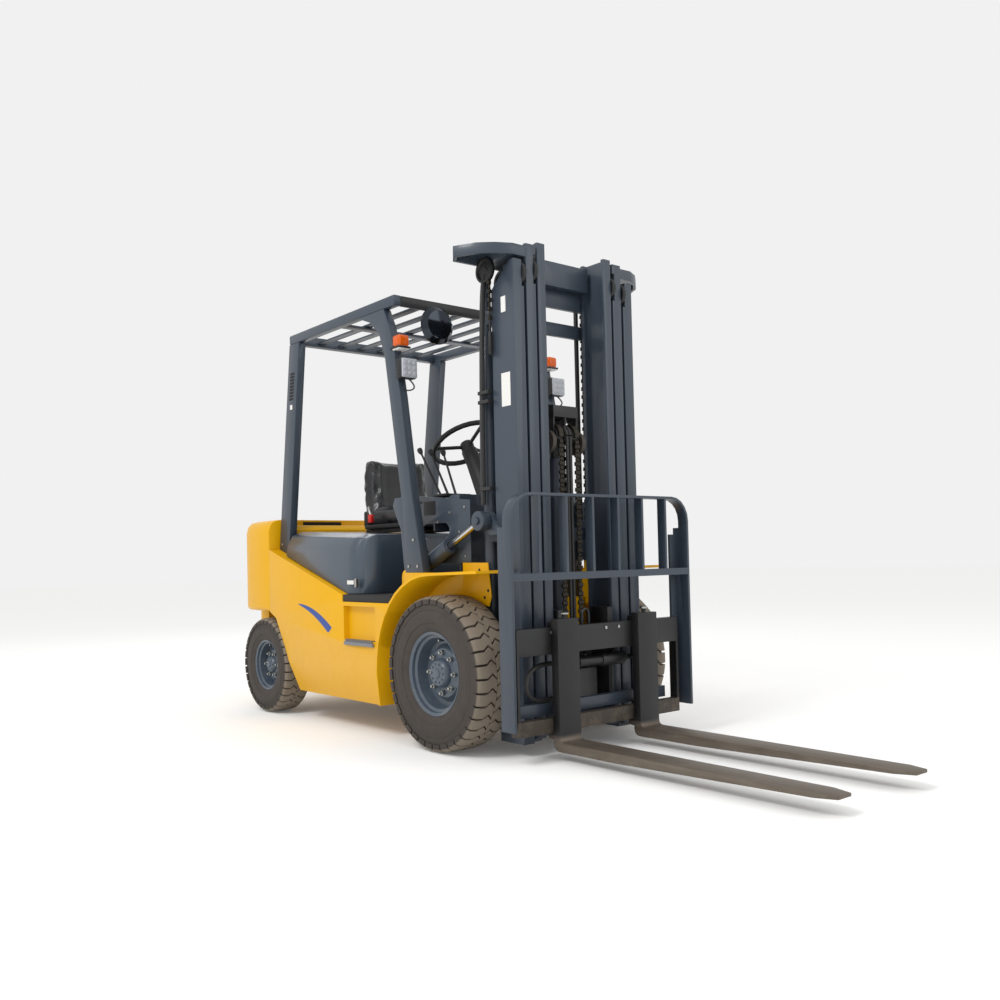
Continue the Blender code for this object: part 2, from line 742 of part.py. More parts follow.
front_leg = [
    (front + 0.150, foot_top + gap), (front + 0.290, foot_top + gap), (front + 0.305, 1.080),
    (front + 0.390, 1.580), (front + 0.425, 1.780), (front + 0.470, 1.900), (front + 0.545, 1.975),
    (front + 0.660, guard_under - gap), (front + 0.430, guard_under - gap), (front + 0.385, 1.930),
    (front + 0.345, 1.800), (front + 0.300, 1.580), (front + 0.225, 1.110),
]
rear_leg = [
    (seam - 0.110, slope_height(seam - 0.110) + gap), (seam - 0.002, slope_height(seam - 0.002) + gap),
    (guard_y[1], guard_under - gap), (guard_y[1] - 0.108, guard_under - gap),
]
for side, word in ((1, "left"), (-1, "right")):
    leg = prism(front_leg, "X", side * guard_inner, side * guard_outer)
    node("guard_front_leg_" + word, [leg], grey_paint)
    leg = prism(rear_leg, "X", side * guard_inner, side * guard_outer)
    node("guard_rear_leg_" + word, [leg], grey_paint)


def leg_face(height):
    """Front edge of a front leg at a height between its named bends."""
    for low, high in (((front + 0.300, 1.580), (front + 0.345, 1.800)),
                      ((front + 0.345, 1.800), (front + 0.385, 1.930))):
        if height <= high[1]:
            break
    return low[0] + (high[0] - low[0]) * (height - low[1]) / (high[1] - low[1])


def make_lights(side, word):
    """Work lamp and indicator on a bracket ahead of the leg."""
    x = side * 0.470
    arm = [(leg_face(height) - gap, height) for height in (1.640, 1.800, 1.880)]
    arm += [(y - 0.010, height) for y, height in reversed(arm)]
    solids = [prism(arm, "X", x - 0.008, x + 0.008)]
    lamp_back = leg_face(1.710) - 0.028
    solids.append(box((x - 0.045, x + 0.045), (lamp_back - 0.055, lamp_back), (1.665, 1.760)))
    solids.append(box((x - 0.010, x + 0.010), (lamp_back - 0.020, leg_face(1.690) - 0.004), (1.690, 1.710)))
    light_back = leg_face(1.820) - 0.003
    solids.append(box((x - 0.032, x + 0.032), (light_back - 0.062, light_back), (1.820, 1.878)))
    return node("front_lights_" + word, solids, black_plastic)


make_lights(1, "left")
make_lights(-1, "right")


# Mast

def rail_solids(side, x_range, web_x, low, top):
    """Web and two flanges of one upright."""
    flange_front = (rail_front, rail_front + rail_flange)
    flange_back = (rail_back - rail_flange, rail_back)
    return [
        box((side * x_range[0], side * x_range[1]), flange_front, (low, top)),
        box((side * x_range[0], side * x_range[1]), flange_back, (low, top)),
        box((side * web_x, side * (web_x + rail_web)), (rail_front + 0.004, rail_back - 0.004), (low, top)),
    ]


outer_low = mast_foot
middle_low = mast_foot + shoe + gap
inner_low = middle_low + shoe + gap
middle_cross_y = (rail_back + running, rail_back + running + cross_plate)
outer_cross_y = (middle_cross_y[1] + running, middle_cross_y[1] + running + cross_plate)
inner_cross_y = (rail_back - 0.045, rail_back - 0.004)
lift_y = outer_cross_y[1] + running + lift_barrel_radius


def make_outer_mast():
    solids = []
    cuts = []
    for side in (1, -1):
        solids += rail_solids(side, outer_rail_x, outer_rail_x[1] - rail_web, outer_low, outer_rail_top)
        edge = 0.004
        block_x = (side * outer_rail_x[0], side * (outer_rail_x[1] - edge))
        for low, high in ((0.100, 0.260), (0.900, 0.960), (1.840, 1.900)):
            solids.append(box(block_x, (rail_back - 0.010, outer_cross_y[1]), (low, high)))
        solids.append(box((side * (middle_rail_x[0] - 0.002), side * (outer_rail_x[1] - edge)),
                          (rail_front + 0.030, rail_back - 0.004), (outer_low, outer_low + shoe)))
        seat_y = (rail_back - 0.010, lift_y + lift_barrel_radius)
        solids.append(box((side * 0.298, side * 0.356), seat_y, (0.100, 0.120)))
        lug = arc((pivot_y, pivot_height), ear_reach, -90, 90, 6)
        lug += [(outer_cross_y[1] - 0.004, pivot_height + 0.045), (outer_cross_y[0] + 0.004, 0.240),
                (outer_cross_y[0] + 0.004, 0.150), (outer_cross_y[1] - 0.004, 0.150)]
        solids.append(prism(lug, "X", side * lug_x[0], side * lug_x[1]))
        solids.append(rod((side * (lug_x[0] + 0.005), pivot_y, pivot_height),
                          (side * (ear_x[1] + 0.010), pivot_y, pivot_height), pivot_pin))
        ear = arc((tilt_eye_y, tilt_eye_height), 0.044, 0, 180, 8)
        ear += [(rail_front + 0.060, tilt_eye_height - 0.060), (tilt_eye_y - 0.020, tilt_eye_height - 0.060)]
        solids.append(prism(ear, "X", side * (outer_rail_x[1] - 0.002), side * (tilt_x - 0.028)))
        solids.append(rod((side * (outer_rail_x[1] - 0.010), tilt_eye_y, tilt_eye_height),
                          (side * (tilt_x + 0.030), tilt_eye_y, tilt_eye_height), tilt_pin))
        diagonal = [(rail_front + 0.030, outer_rail_top + 0.001),
                    (rail_back + 0.010, outer_rail_top - 0.115),
                    (rail_back + 0.010, outer_rail_top + 0.001)]
        cuts.append(prism(diagonal, "X", side * 0.290, side * 0.380))
    for low, high in ((0.100, 0.260), (0.900, 0.960), (1.840, 1.900)):
        solids.append(box((-outer_rail_x[0] - 0.004, outer_rail_x[0] + 0.004), outer_cross_y, (low, high)))
    return node("mast_outer", solids, grey_paint, cuts, origin=(0, pivot_y, pivot_height))


wing_top = 2.148
wing_band = 0.046


def wing_outline(side, inset):
    """Plan of the top wing, from the upright's front corner round to its rear edge."""
    points = [(middle_rail_x[0] + 0.004, rail_front + 0.002 + inset)]
    points += [(outer_rail_x[1], rail_front + 0.002 + inset)]
    points += [(0.430 - inset, rail_front + 0.035 + inset), (0.490 - inset, rail_front + 0.085 + inset)]
    points += [(0.540 - inset, rail_back + 0.030), (0.500 - inset, rail_back + 0.084 - inset)]
    points += [(0.344, rail_back + 0.078 - inset), (middle_rail_x[0] + 0.004, rail_back + 0.078 - inset)]
    return [(side * x, y) for x, y in points]


def wing_pocket(side):
    """Hollow under the wing outside the upright."""
    points = [(0.372, rail_front + 0.030), (0.425, rail_front + 0.045), (0.478, rail_front + 0.092),
              (0.524, rail_back + 0.026), (0.492, rail_back + 0.070), (0.372, rail_back + 0.066)]
    return [(side * x, y) for x, y in points]


def make_middle_mast():
    solids = []
    cuts = []
    web_x = (middle_rail_x[0] + middle_rail_x[1] - rail_web) / 2
    for side in (1, -1):
        solids += rail_solids(side, middle_rail_x, web_x, middle_low, middle_rail_top)
        for low, high in ((0.110, 0.250), (1.960, 2.060)):
            solids.append(box((side * middle_rail_x[0], side * middle_rail_x[1]),
                              (rail_back - 0.010, middle_cross_y[1]), (low, high)))
        solids.append(box((side * (inner_rail_x[0] - 0.002), side * (middle_rail_x[1] - 0.004)),
                          (rail_front + 0.030, rail_back - 0.004), (middle_low, middle_low + shoe)))
        solids.append(prism(wing_outline(side, 0.0), "Z", wing_top - wing_band, wing_top))
        cuts.append(prism(wing_pocket(side), "Z", wing_top - wing_band - 0.010, wing_top - 0.012))
        rod_top = wing_top - 0.006
        solids.append(rod((side * lift_cylinder_x, lift_y, 0.220), (side * lift_cylinder_x, lift_y, rod_top),
                          lift_rod_radius))
    for low, high in ((0.110, 0.250), (1.960, 2.060)):
        solids.append(box((-middle_rail_x[0] - 0.004, middle_rail_x[0] + 0.004),
                          middle_cross_y, (low, high)))
    return node("mast_middle", solids, grey_paint, cuts, origin=(0, pivot_y, pivot_height))


def make_inner_mast():
    solids = []
    for side in (1, -1):
        web_x = inner_rail_x[1] - rail_web - 0.004
        solids += rail_solids(side, inner_rail_x, web_x, inner_low, inner_rail_top)
    solids.append(box((-inner_rail_x[0] - 0.004, inner_rail_x[0] + 0.004), inner_cross_y, (2.040, 2.150)))
    solids.append(box((-inner_rail_x[0] - 0.004, inner_rail_x[0] + 0.004),
                      (inner_cross_y[0] - 0.035, inner_cross_y[1]), (inner_low + 0.010, 0.160)))
    return node("mast_inner", solids, grey_paint, origin=(0, pivot_y, pivot_height))


make_outer_mast()
make_middle_mast()
make_inner_mast()

for side, word in ((1, "left"), (-1, "right")):
    place = (side * lift_cylinder_x, lift_y, 0.0)
    bore = bore_for(lift_rod_radius, bore_clearance, 16)
    profile = [(0, 0.120 + gap), (lift_barrel_radius, 0.120 + gap), (lift_barrel_radius, lift_barrel_top),
               (bore, lift_barrel_top), (bore, 0.200), (0, 0.200)]
    node("lift_barrel_" + word, [turned(profile, place, (0, 0, 1), 16)], grey_paint, origin=place)

free_lift_y = rail_back - 0.040
free_rod_radius = 0.022
free_place = (free_lift_x, free_lift_y, 0.0)
free_bore = bore_for(free_rod_radius, bore_clearance, 16)
free_profile = [(0, 0.160 + gap), (free_lift_radius, 0.160 + gap), (free_lift_radius, free_lift_top),
                (free_bore, free_lift_top), (free_bore, 0.300), (0, 0.300)]
node("free_lift_barrel", [turned(free_profile, free_place, (0, 0, 1), 16)], grey_paint, origin=free_place)

pulley_y = rail_front + 0.060
chain_x = (free_lift_x - chain_spacing / 2, free_lift_x + chain_spacing / 2)


def make_crosshead():
    solids = [rod((free_lift_x, free_lift_y, 0.330), (free_lift_x, free_lift_y, crosshead_top - 0.060),
                  free_rod_radius)]
    half = chain_spacing / 2 + 0.026
    head = [(pulley_y - 0.030, crosshead_top - 0.060), (free_lift_y + 0.018, crosshead_top - 0.080),
            (free_lift_y + 0.018, crosshead_top - 0.020), (pulley_y + 0.020, crosshead_top),
            (pulley_y - 0.030, crosshead_top - 0.010)]
    solids.append(prism(head, "X", free_lift_x - half, free_lift_x + half))
    cheek = [(pulley_y - 0.022, pulley_height - 0.022), (pulley_y + 0.022, pulley_height - 0.022),
             (pulley_y + 0.030, crosshead_top - 0.055), (pulley_y - 0.028, crosshead_top - 0.055)]
    for x in (free_lift_x - half + 0.001, free_lift_x - 0.004, free_lift_x + half - 0.009):
        solids.append(prism(cheek, "X", x, x + 0.008))
    solids.append(rod((free_lift_x - half - 0.002, pulley_y, pulley_height),
                      (free_lift_x + half + 0.002, pulley_y, pulley_height), 0.012, 10))
    for x in chain_x:
        solids.append(rod((x - 0.019, pulley_y, pulley_height), (x + 0.019, pulley_y, pulley_height),
                          pulley_radius - chain_thickness))
    return node("crosshead", solids, black_paint, origin=free_place)


make_crosshead()


# Tilt cylinders

slope = (tilt_base - tilt_eye).normalized()
tilt_reach = (tilt_base - tilt_eye).length
for side, word in ((1, "left"), (-1, "right")):
    x = Vector((side * tilt_x, 0, 0))
    eye = tilt_eye + x
    base = tilt_base + x
    body_length = tilt_reach - tilt_gland_from_eye - tilt_neck
    bore = bore_for(tilt_rod_radius, bore_clearance, 16)
    profile = [(0, 0), (tilt_barrel_radius, 0), (tilt_barrel_radius, body_length), (bore, body_length),
               (bore, 0.030), (0, 0.030)]
    barrel = turned(profile, base - slope * tilt_neck, -slope, 16)
    across = Vector((tilt_boss_half, 0, 0))
    boss = rod(base - across, base + across, 0.040, 16)
    neck = rod(base, base - slope * (tilt_neck + 0.010), 0.023, 12)
    pin = rod(base - Vector((0.036, 0, 0)), base + Vector((0.036, 0, 0)), tilt_pin, 12)
    node("tilt_barrel_" + word, [barrel, boss, neck, pin], grey_paint, origin=base)
    rod_solid = rod(eye + slope * 0.030, base - slope * tilt_rod_end, tilt_rod_radius)
    eye_boss = rod(eye - Vector((0.0225, 0, 0)), eye + Vector((0.0225, 0, 0)), 0.042, 20)
    hole = rod(eye - Vector((0.04, 0, 0)), eye + Vector((0.04, 0, 0)),
               bore_for(tilt_pin, tilt_eye_clearance, 16), 16)
    node("tilt_rod_" + word, [rod_solid, eye_boss], chrome, [hole], origin=eye)


# Carriage, side shifter, backrest, forks and chains

bar_front = fork_back + gap
bar_back = bar_front + bar_depth
carriage_bar = (bar_back + 0.008, bar_back + 0.045)
carriage_plate_x = (0.135, 0.165)
shift_cylinder_y = (carriage_bar[0] + carriage_bar[1]) / 2
shift_cylinder_z = 0.375
shift_rod = 0.012
shift_barrel = 0.024
anchor_height = 0.345


def make_carriage():
    solids = [box((-carriage_half, carriage_half), carriage_bar, (0.430, 0.500))]
    solids.append(box((-carriage_half, carriage_half), carriage_bar, (0.175, 0.225)))
    for side in (1, -1):
        plate_front = shift_cylinder_y + shift_barrel + running
        plate = [(carriage_bar[1] - 0.010, 0.180), (inner_cross_y[0] - 0.035, 0.160 + gap),
                 (inner_cross_y[0] - 0.012, 0.160 + gap), (inner_cross_y[0] - 0.012, 0.600),
                 (plate_front, 0.600), (plate_front, 0.497), (carriage_bar[1] - 0.010, 0.495),
                 (carriage_bar[1] - 0.010, 0.435),
                 (plate_front, 0.430), (plate_front, 0.226), (carriage_bar[1] - 0.010, 0.222)]
        solids.append(prism(plate, "X", side * carriage_plate_x[0], side * carriage_plate_x[1]))
    bore = bore_for(shift_rod, bore_clearance, 12)
    barrel = [(0, 0), (shift_barrel, 0), (shift_barrel, 0.290), (bore, 0.290), (bore, 0.012), (0, 0.012)]
    solids.append(turned(barrel, (-0.090, shift_cylinder_y, shift_cylinder_z), (1, 0, 0), 12))
    for x in ((-0.030, -0.010), (0.135, 0.150)):
        wall = shift_cylinder_y + 0.017
        lug = [(wall, shift_cylinder_z - 0.012), (carriage_bar[1] + 0.004, shift_cylinder_z - 0.012),
               (carriage_bar[1] + 0.004, 0.445), (carriage_bar[0] + 0.010, 0.445),
               (carriage_bar[0] + 0.010, 0.425), (wall, 0.405)]
        solids.append(prism(lug, "X", x[0], x[1]))
    anchor = box((chain_x[0] - 0.020, chain_x[1] + 0.020),
                 (carriage_bar[1], pulley_y - pulley_radius + chain_thickness + 0.003),
                 (anchor_height - 0.020, anchor_height))
    tie_y = (carriage_bar[1] - 0.006, carriage_bar[1] + 0.014)
    hanger = box((free_lift_x - 0.090, free_lift_x + 0.090), tie_y, (0.180, anchor_height - 0.001))
    top_tie = box((-carriage_plate_x[1], carriage_plate_x[1]), tie_y, (0.440, 0.490))
    solids += [hanger, anchor, top_tie]
    return node("carriage", solids, grey_paint)


make_carriage()


def make_shifter():
    solids = [box((-shifter_half, shifter_half), (bar_front, bar_back), upper_bar)]
    solids.append(box((-shifter_half, shifter_half), (bar_front, bar_back), lower_bar))
    for side in (1, -1):
        solids.append(box((side * (shifter_half - 0.014), side * shifter_half), (bar_front, bar_back),
                          (lower_bar[0] + 0.002, upper_bar[1] - 0.002)))
        hook = [(bar_back - 0.010, 0.500 + gap), (carriage_bar[1] - 0.006, 0.500 + gap),
                (carriage_bar[1] - 0.006, 0.525), (bar_back - 0.010, upper_bar[1] - 0.004)]
        solids.append(prism(hook, "X", side * 0.220, side * 0.440))
    solids.append(box(shift_lug_x, (bar_back - 0.010, shift_cylinder_y + 0.018), (0.355, 0.395)))
    solids.append(box(shift_lug_x, (bar_front + 0.006, bar_back - 0.004), (0.355, upper_bar[0] + 0.01)))
    solids.append(rod((0.030, shift_cylinder_y, shift_cylinder_z),
                      (shift_lug_x[0] + 0.010, shift_cylinder_y, shift_cylinder_z), shift_rod, 12))
    return node("side_shifter", solids, black_paint)


make_shifter()
backrest_front = fork_front + 0.002
backrest_back = backrest_front + backrest_depth


def make_backrest():
    half = backrest_half
    corner = backrest_corner
    outer = arc((half - corner, backrest_top - corner), corner, 0, 90, 5)
    outer += [(-x, z) for x, z in reversed(outer)]
    inner_half = half - backrest_bar
    inner_corner = corner - backrest_bar
    inner = arc((half - corner, backrest_top - corner), inner_corner, 0, 90, 5)
    inner += [(-x, z) for x, z in reversed(inner)]
    hoop = [(half, 0.140)] + outer + [(-half, 0.140), (-inner_half, 0.140)]
    hoop += list(reversed(inner)) + [(inner_half, 0.140)]
    solids = [prism(hoop, "Y", backrest_front, backrest_front + 0.050)]
    for side in (1, -1):
        solids.append(box((side * inner_half, side * half), (backrest_front + 0.040, backrest_back),
                          (0.140, 0.950)))
        solids.append(box((side * (shifter_half + gap), side * (half - 0.002)),
                          (backrest_back - 0.012, backrest_back), (0.140, 0.920)))
    solids.append(box((-inner_half - 0.004, inner_half + 0.004), (backrest_front, backrest_front + 0.045),
                      backrest_cross))
    pitch = 0.1535
    for index in range(6):
        x = pitch * (index - 2.5)
        solids.append(box((x - backrest_bar / 2, x + backrest_bar / 2), (backrest_front + 0.001,
                          backrest_front + 0.044), (backrest_cross[0] + 0.004, backrest_top - 0.004)))
    return node("load_backrest", solids, grey_paint)


make_backrest()


def make_fork(side, word):
    middle = side * fork_spacing_half
    low = fork_bottom
    tip = fork_front - fork_length
    profile = [(fork_back, low + 0.030)]
    profile += arc((fork_back - 0.030, low + 0.030), 0.030, 0, -90, 3)[1:]
    profile += [(fork_front - 0.300, low), (tip, low + 0.022), (tip, low + 0.022 + fork_tip_thickness)]
    profile += [(fork_front - 0.300, low + fork_thickness)]
    profile += arc((fork_front - 0.020, low + fork_thickness + 0.020), 0.020, -90, 0, 3)
    profile += [(fork_front, fork_top), (fork_back, fork_top)]
    half = fork_width / 2
    solids = [prism(profile, "X", middle - half, middle + half)]
    solids.append(box((middle - half + 0.005, middle + half - 0.005), (fork_back - 0.010, bar_back - 0.012),
                      (upper_bar[1] + gap, upper_bar[1] + 0.022)))
    solids.append(box((middle - half + 0.005, middle + half - 0.005), (fork_back - 0.010, bar_back - 0.006),
                      (lower_bar[0] - 0.028, lower_bar[0] - gap)))
    solids.append(rod((middle, fork_back - 0.018, fork_top - 0.002),
                      (middle, fork_back - 0.018, fork_top + 0.028), 0.010, 10))
    cuts = []
    for turn in (1, -1):
        cut = [(middle + turn * half * 0.55, tip - 0.010), (middle + turn * (half + 0.001), tip + 0.075),
               (middle + turn * (half + 0.030), tip + 0.075), (middle + turn * (half + 0.030), tip - 0.010)]
        cuts.append(prism(cut, "Z", 0.0, 0.2))
    return node("fork_" + word, solids, fork_steel, cuts)


make_fork(1, "left")
make_fork(-1, "right")

chain_front = pulley_y - pulley_radius
chain_solids = []
for x in chain_x:
    chain_solids.append(box((x - chain_width / 2, x + chain_width / 2), (chain_front, chain_front + 0.011),
                            (anchor_height + gap, pulley_height)))
chain_solids.append(box((chain_x[0], chain_x[1]), (chain_front, chain_front + 0.011),
                        (anchor_height + gap, anchor_height + 0.015)))
node("lift_chains", chain_solids, chain_steel)
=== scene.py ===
import json
import math

import bmesh
import bpy
from mathutils import Matrix, Vector


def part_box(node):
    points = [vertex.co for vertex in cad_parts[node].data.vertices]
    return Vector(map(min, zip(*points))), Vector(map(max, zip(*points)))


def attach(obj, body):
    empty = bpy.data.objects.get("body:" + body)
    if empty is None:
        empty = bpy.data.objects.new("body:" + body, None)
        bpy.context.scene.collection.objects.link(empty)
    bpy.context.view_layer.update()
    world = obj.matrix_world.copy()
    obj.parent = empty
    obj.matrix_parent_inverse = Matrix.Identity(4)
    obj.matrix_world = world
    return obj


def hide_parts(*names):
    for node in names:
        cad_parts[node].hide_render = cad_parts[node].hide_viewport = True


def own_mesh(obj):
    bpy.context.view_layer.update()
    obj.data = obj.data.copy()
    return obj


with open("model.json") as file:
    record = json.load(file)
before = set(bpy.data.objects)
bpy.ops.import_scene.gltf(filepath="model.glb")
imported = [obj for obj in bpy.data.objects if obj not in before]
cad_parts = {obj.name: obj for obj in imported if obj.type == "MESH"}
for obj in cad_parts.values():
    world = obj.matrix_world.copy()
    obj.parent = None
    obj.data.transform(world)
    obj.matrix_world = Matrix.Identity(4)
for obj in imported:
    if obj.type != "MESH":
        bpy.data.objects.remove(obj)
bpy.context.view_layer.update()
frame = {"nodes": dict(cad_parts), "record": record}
bodyOf = {node: body for body, nodes in frame["record"]["behaviour"]["bodies"].items() for node in nodes}
scene = bpy.context.scene
bothSides = ((1, "Left"), (-1, "Right"))
halfTurn = [math.pi * index / 8 for index in range(9)]
print("frame loaded")


# Working helpers

def deselectAll():
    if bpy.context.object and bpy.context.object.mode != "OBJECT":
        bpy.ops.object.mode_set(mode="OBJECT")
    bpy.ops.object.select_all(action="DESELECT")


def makeActive(*pieces):
    deselectAll()
    for piece in pieces:
        piece.select_set(True)
    bpy.context.view_layer.objects.active = pieces[0]


def applyPlace(piece):
    makeActive(piece)
    bpy.ops.object.transform_apply(location=True, rotation=True, scale=True)
    return piece


def addModifier(piece, kind, **settings):
    makeActive(piece)
    step = piece.modifiers.new(kind.lower(), kind)
    for key, value in settings.items():
        setattr(step, key, value)
    bpy.ops.object.modifier_apply(modifier=step.name)


def softenEdges(piece, width, segments=2, angle=32):
    addModifier(piece, "BEVEL", width=width, segments=segments, limit_method="ANGLE",
                angle_limit=math.radians(angle))


def joinPieces(pieces):
    if len(pieces) > 1:
        makeActive(*pieces)
        bpy.ops.object.join()
    return pieces[0]


def copyMoved(piece, matrix):
    other = piece.copy()
    other.data = piece.data.copy()
    other.data.transform(matrix)
    scene.collection.objects.link(other)
    return other


def finishPiece(piece, name, body, finish, smooth=35):
    makeActive(piece)
    bpy.ops.object.shade_smooth_by_angle(angle=math.radians(smooth))
    piece.name = name
    piece.data.name = name
    piece.data.materials.clear()
    piece.data.materials.append(finish)
    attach(piece, body)
    return piece


def addBlock(low, high, width=0.0, segments=2):
    deselectAll()
    low, high = Vector(low), Vector(high)
    bpy.ops.mesh.primitive_cube_add(size=1, location=(low + high) / 2, scale=high - low)
    piece = applyPlace(bpy.context.object)
    if width:
        softenEdges(piece, width, segments)
    return piece


def sideBlock(sign, x, y, z, width=0.0015, segments=1):
    # X is measured outwards from the middle, on the side that the sign gives
    left, right = sorted((sign * x[0], sign * x[1]))
    return addBlock((left, y[0], z[0]), (right, y[1], z[1]), width, segments)


def addDrum(start, end, radius, steps=24, width=0.0, tip=None):
    deselectAll()
    start, end = Vector(start), Vector(end)
    turn = (end - start).to_track_quat("Z", "Y").to_euler()
    bpy.ops.mesh.primitive_cone_add(vertices=steps, radius1=radius, radius2=tip or radius,
                                    depth=(end - start).length, location=(start + end) / 2, rotation=turn)
    piece = applyPlace(bpy.context.object)
    if width:
        softenEdges(piece, width, 2, 50)
    return piece


def addTube(points, radius, steps=2):
    deselectAll()
    line = bpy.data.curves.new("line", "CURVE")
    line.dimensions = "3D"
    line.bevel_depth = radius
    line.bevel_resolution = steps
    line.resolution_u = 6
    line.use_fill_caps = True
    spline = line.splines.new("NURBS")
    spline.points.add(len(points) - 1)
    for point, place in zip(spline.points, points):
        point.co = (*place, 1)
    spline.use_endpoint_u = True
    spline.order_u = min(4, len(points))
    piece = bpy.data.objects.new("tube", line)
    scene.collection.objects.link(piece)
    makeActive(piece)
    bpy.ops.object.convert(target="MESH")
    return bpy.context.object


mergeGap = 0.00005


def spinSection(section, centre, axis, steps=64):
    # A ring of points is shaped into the section, given as radius and reach, then spun
    deselectAll()
    bpy.ops.mesh.primitive_circle_add(vertices=len(section), radius=0.1)
    piece = bpy.context.object
    along = Vector(axis).normalized()
    side = along.orthogonal().normalized()
    for vert, (radius, reach) in zip(piece.data.vertices, section):
        vert.co = Vector(centre) + side * radius + along * reach
    bpy.ops.object.mode_set(mode="EDIT")
    if section[0][0] == 0 and section[-1][0] == 0:  # both ends lie on the axis, so nothing joins them
        work = bmesh.from_edit_mesh(piece.data)
        work.verts.ensure_lookup_table()
        last = work.edges.get((work.verts[0], work.verts[len(section) - 1]))
        bmesh.ops.delete(work, geom=[last], context="EDGES")
        bmesh.update_edit_mesh(piece.data)
    bpy.ops.mesh.select_all(action="SELECT")
    bpy.ops.mesh.spin(steps=steps, angle=math.tau, center=centre, axis=along)
    bpy.ops.mesh.select_all(action="SELECT")
    bpy.ops.mesh.remove_doubles(threshold=mergeGap)
    bpy.ops.mesh.dissolve_degenerate(threshold=mergeGap)
    bpy.ops.mesh.select_all(action="SELECT")
    bpy.ops.mesh.normals_make_consistent(inside=False)
    bpy.ops.object.mode_set(mode="OBJECT")
    return piece


def addPlate(outline, start, end, width=0.0015):
    # A flat outline in Y and Z is filled, then drawn out along X
    deselectAll()
    bpy.ops.mesh.primitive_circle_add(vertices=len(outline), radius=0.1, fill_type="NGON")
    piece = bpy.context.object
    for vert, (along, height) in zip(piece.data.vertices, outline):
        vert.co = (start, along, height)
    bpy.ops.object.mode_set(mode="EDIT")
    bpy.ops.mesh.select_all(action="SELECT")
    bpy.ops.mesh.extrude_region_move(TRANSFORM_OT_translate={"value": (end - start, 0, 0)})
    bpy.ops.mesh.select_all(action="SELECT")
    bpy.ops.mesh.normals_make_consistent(inside=False)
    bpy.ops.object.mode_set(mode="OBJECT")
    applyPlace(piece)
    softenEdges(piece, width)
    return piece


# Finishes

def toLinear(code):
    parts = [int(code[at:at + 2], 16) / 255 for at in (0, 2, 4)]
    return (*[part / 12.92 if part <= 0.04045 else ((part + 0.055) / 1.055) ** 2.4 for part in parts], 1.0)


def addNode(tree, kind, settings=None, links=None):
    made = tree.nodes.new(kind)
    for key, value in (settings or {}).items():
        if isinstance(key, int) or key in made.inputs:
            made.inputs[key].default_value = value
        else:
            setattr(made, key, value)
    for key, socket in (links or {}).items():
        tree.links.new(socket, made.inputs[key])
    return made


def newFinish(name):
    made = bpy.data.materials.new(name)
    made.use_nodes = True
    tree = made.node_tree
    place = addNode(tree, "ShaderNodeTexCoord").outputs["Object"]
    return made, tree, tree.nodes["Principled BSDF"], place


def mixColours(tree, share, first, second):
    made = addNode(tree, "ShaderNodeMix", {"data_type": "RGBA"}, {0: share})
    for index, colour in ((6, first), (7, second)):
        if isinstance(colour, str):
            made.inputs[index].default_value = toLinear(colour)
        else:
            tree.links.new(colour, made.inputs[index])
    return made.outputs[2]


def coatedFinish(name, colours, roughness, coat, metallic=0.0, grain=0.006, depth=0.0003, dusty=0.5):
    # Colours are the base, its shade and the dust. Grain is the size in metres of the surface's waviness, depth
    # how far it stands up, and dusty how much dust lies near the floor
    made, tree, shader, place = newFinish(name)
    colour, shade, dust = colours
    # The colour drifts over 400 mm, and the dust lies in spots of 45 mm
    cloud = addNode(tree, "ShaderNodeTexNoise", {"Scale": 2.5, "Detail": 5.0}, {"Vector": place})
    base = mixColours(tree, cloud.outputs["Fac"], colour, shade)
    spots = addNode(tree, "ShaderNodeTexNoise", {"Scale": 22.0, "Detail": 8.0, "Roughness": 0.7},
                    {"Vector": place})
    height = addNode(tree, "ShaderNodeSeparateXYZ", links={"Vector": place}).outputs["Z"]
    low = addNode(tree, "ShaderNodeMapRange",
                  {"From Min": 0.55, "From Max": 0.0, "To Min": 0.06, "To Max": dusty},
                  {"Value": height}).outputs["Result"]
    amount = addNode(tree, "ShaderNodeMapRange", {"From Min": 0.48, "From Max": 0.75, "To Max": 1.0},
                     {"Value": spots.outputs["Fac"]}).outputs["Result"]
    share = addNode(tree, "ShaderNodeMath", {"operation": "MULTIPLY"}, {0: low, 1: amount}).outputs["Value"]
    tree.links.new(mixColours(tree, share, base, dust), shader.inputs["Base Color"])
    rough = addNode(tree, "ShaderNodeMapRange", {"To Min": roughness - 0.05, "To Max": roughness + 0.14},
                    {"Value": spots.outputs["Fac"]})
    tree.links.new(rough.outputs["Result"], shader.inputs["Roughness"])
    wave = addNode(tree, "ShaderNodeTexNoise", {"Scale": 1.0 / grain, "Detail": 2.0}, {"Vector": place})
    bump = addNode(tree, "ShaderNodeBump", {"Strength": 0.35, "Distance": depth},
                   {"Height": wave.outputs["Fac"]})
    tree.links.new(bump.outputs["Normal"], shader.inputs["Normal"])
    shader.inputs["Metallic"].default_value = metallic
    shader.inputs["Coat Weight"].default_value = coat
    shader.inputs["Coat Roughness"].default_value = 0.12
    return made


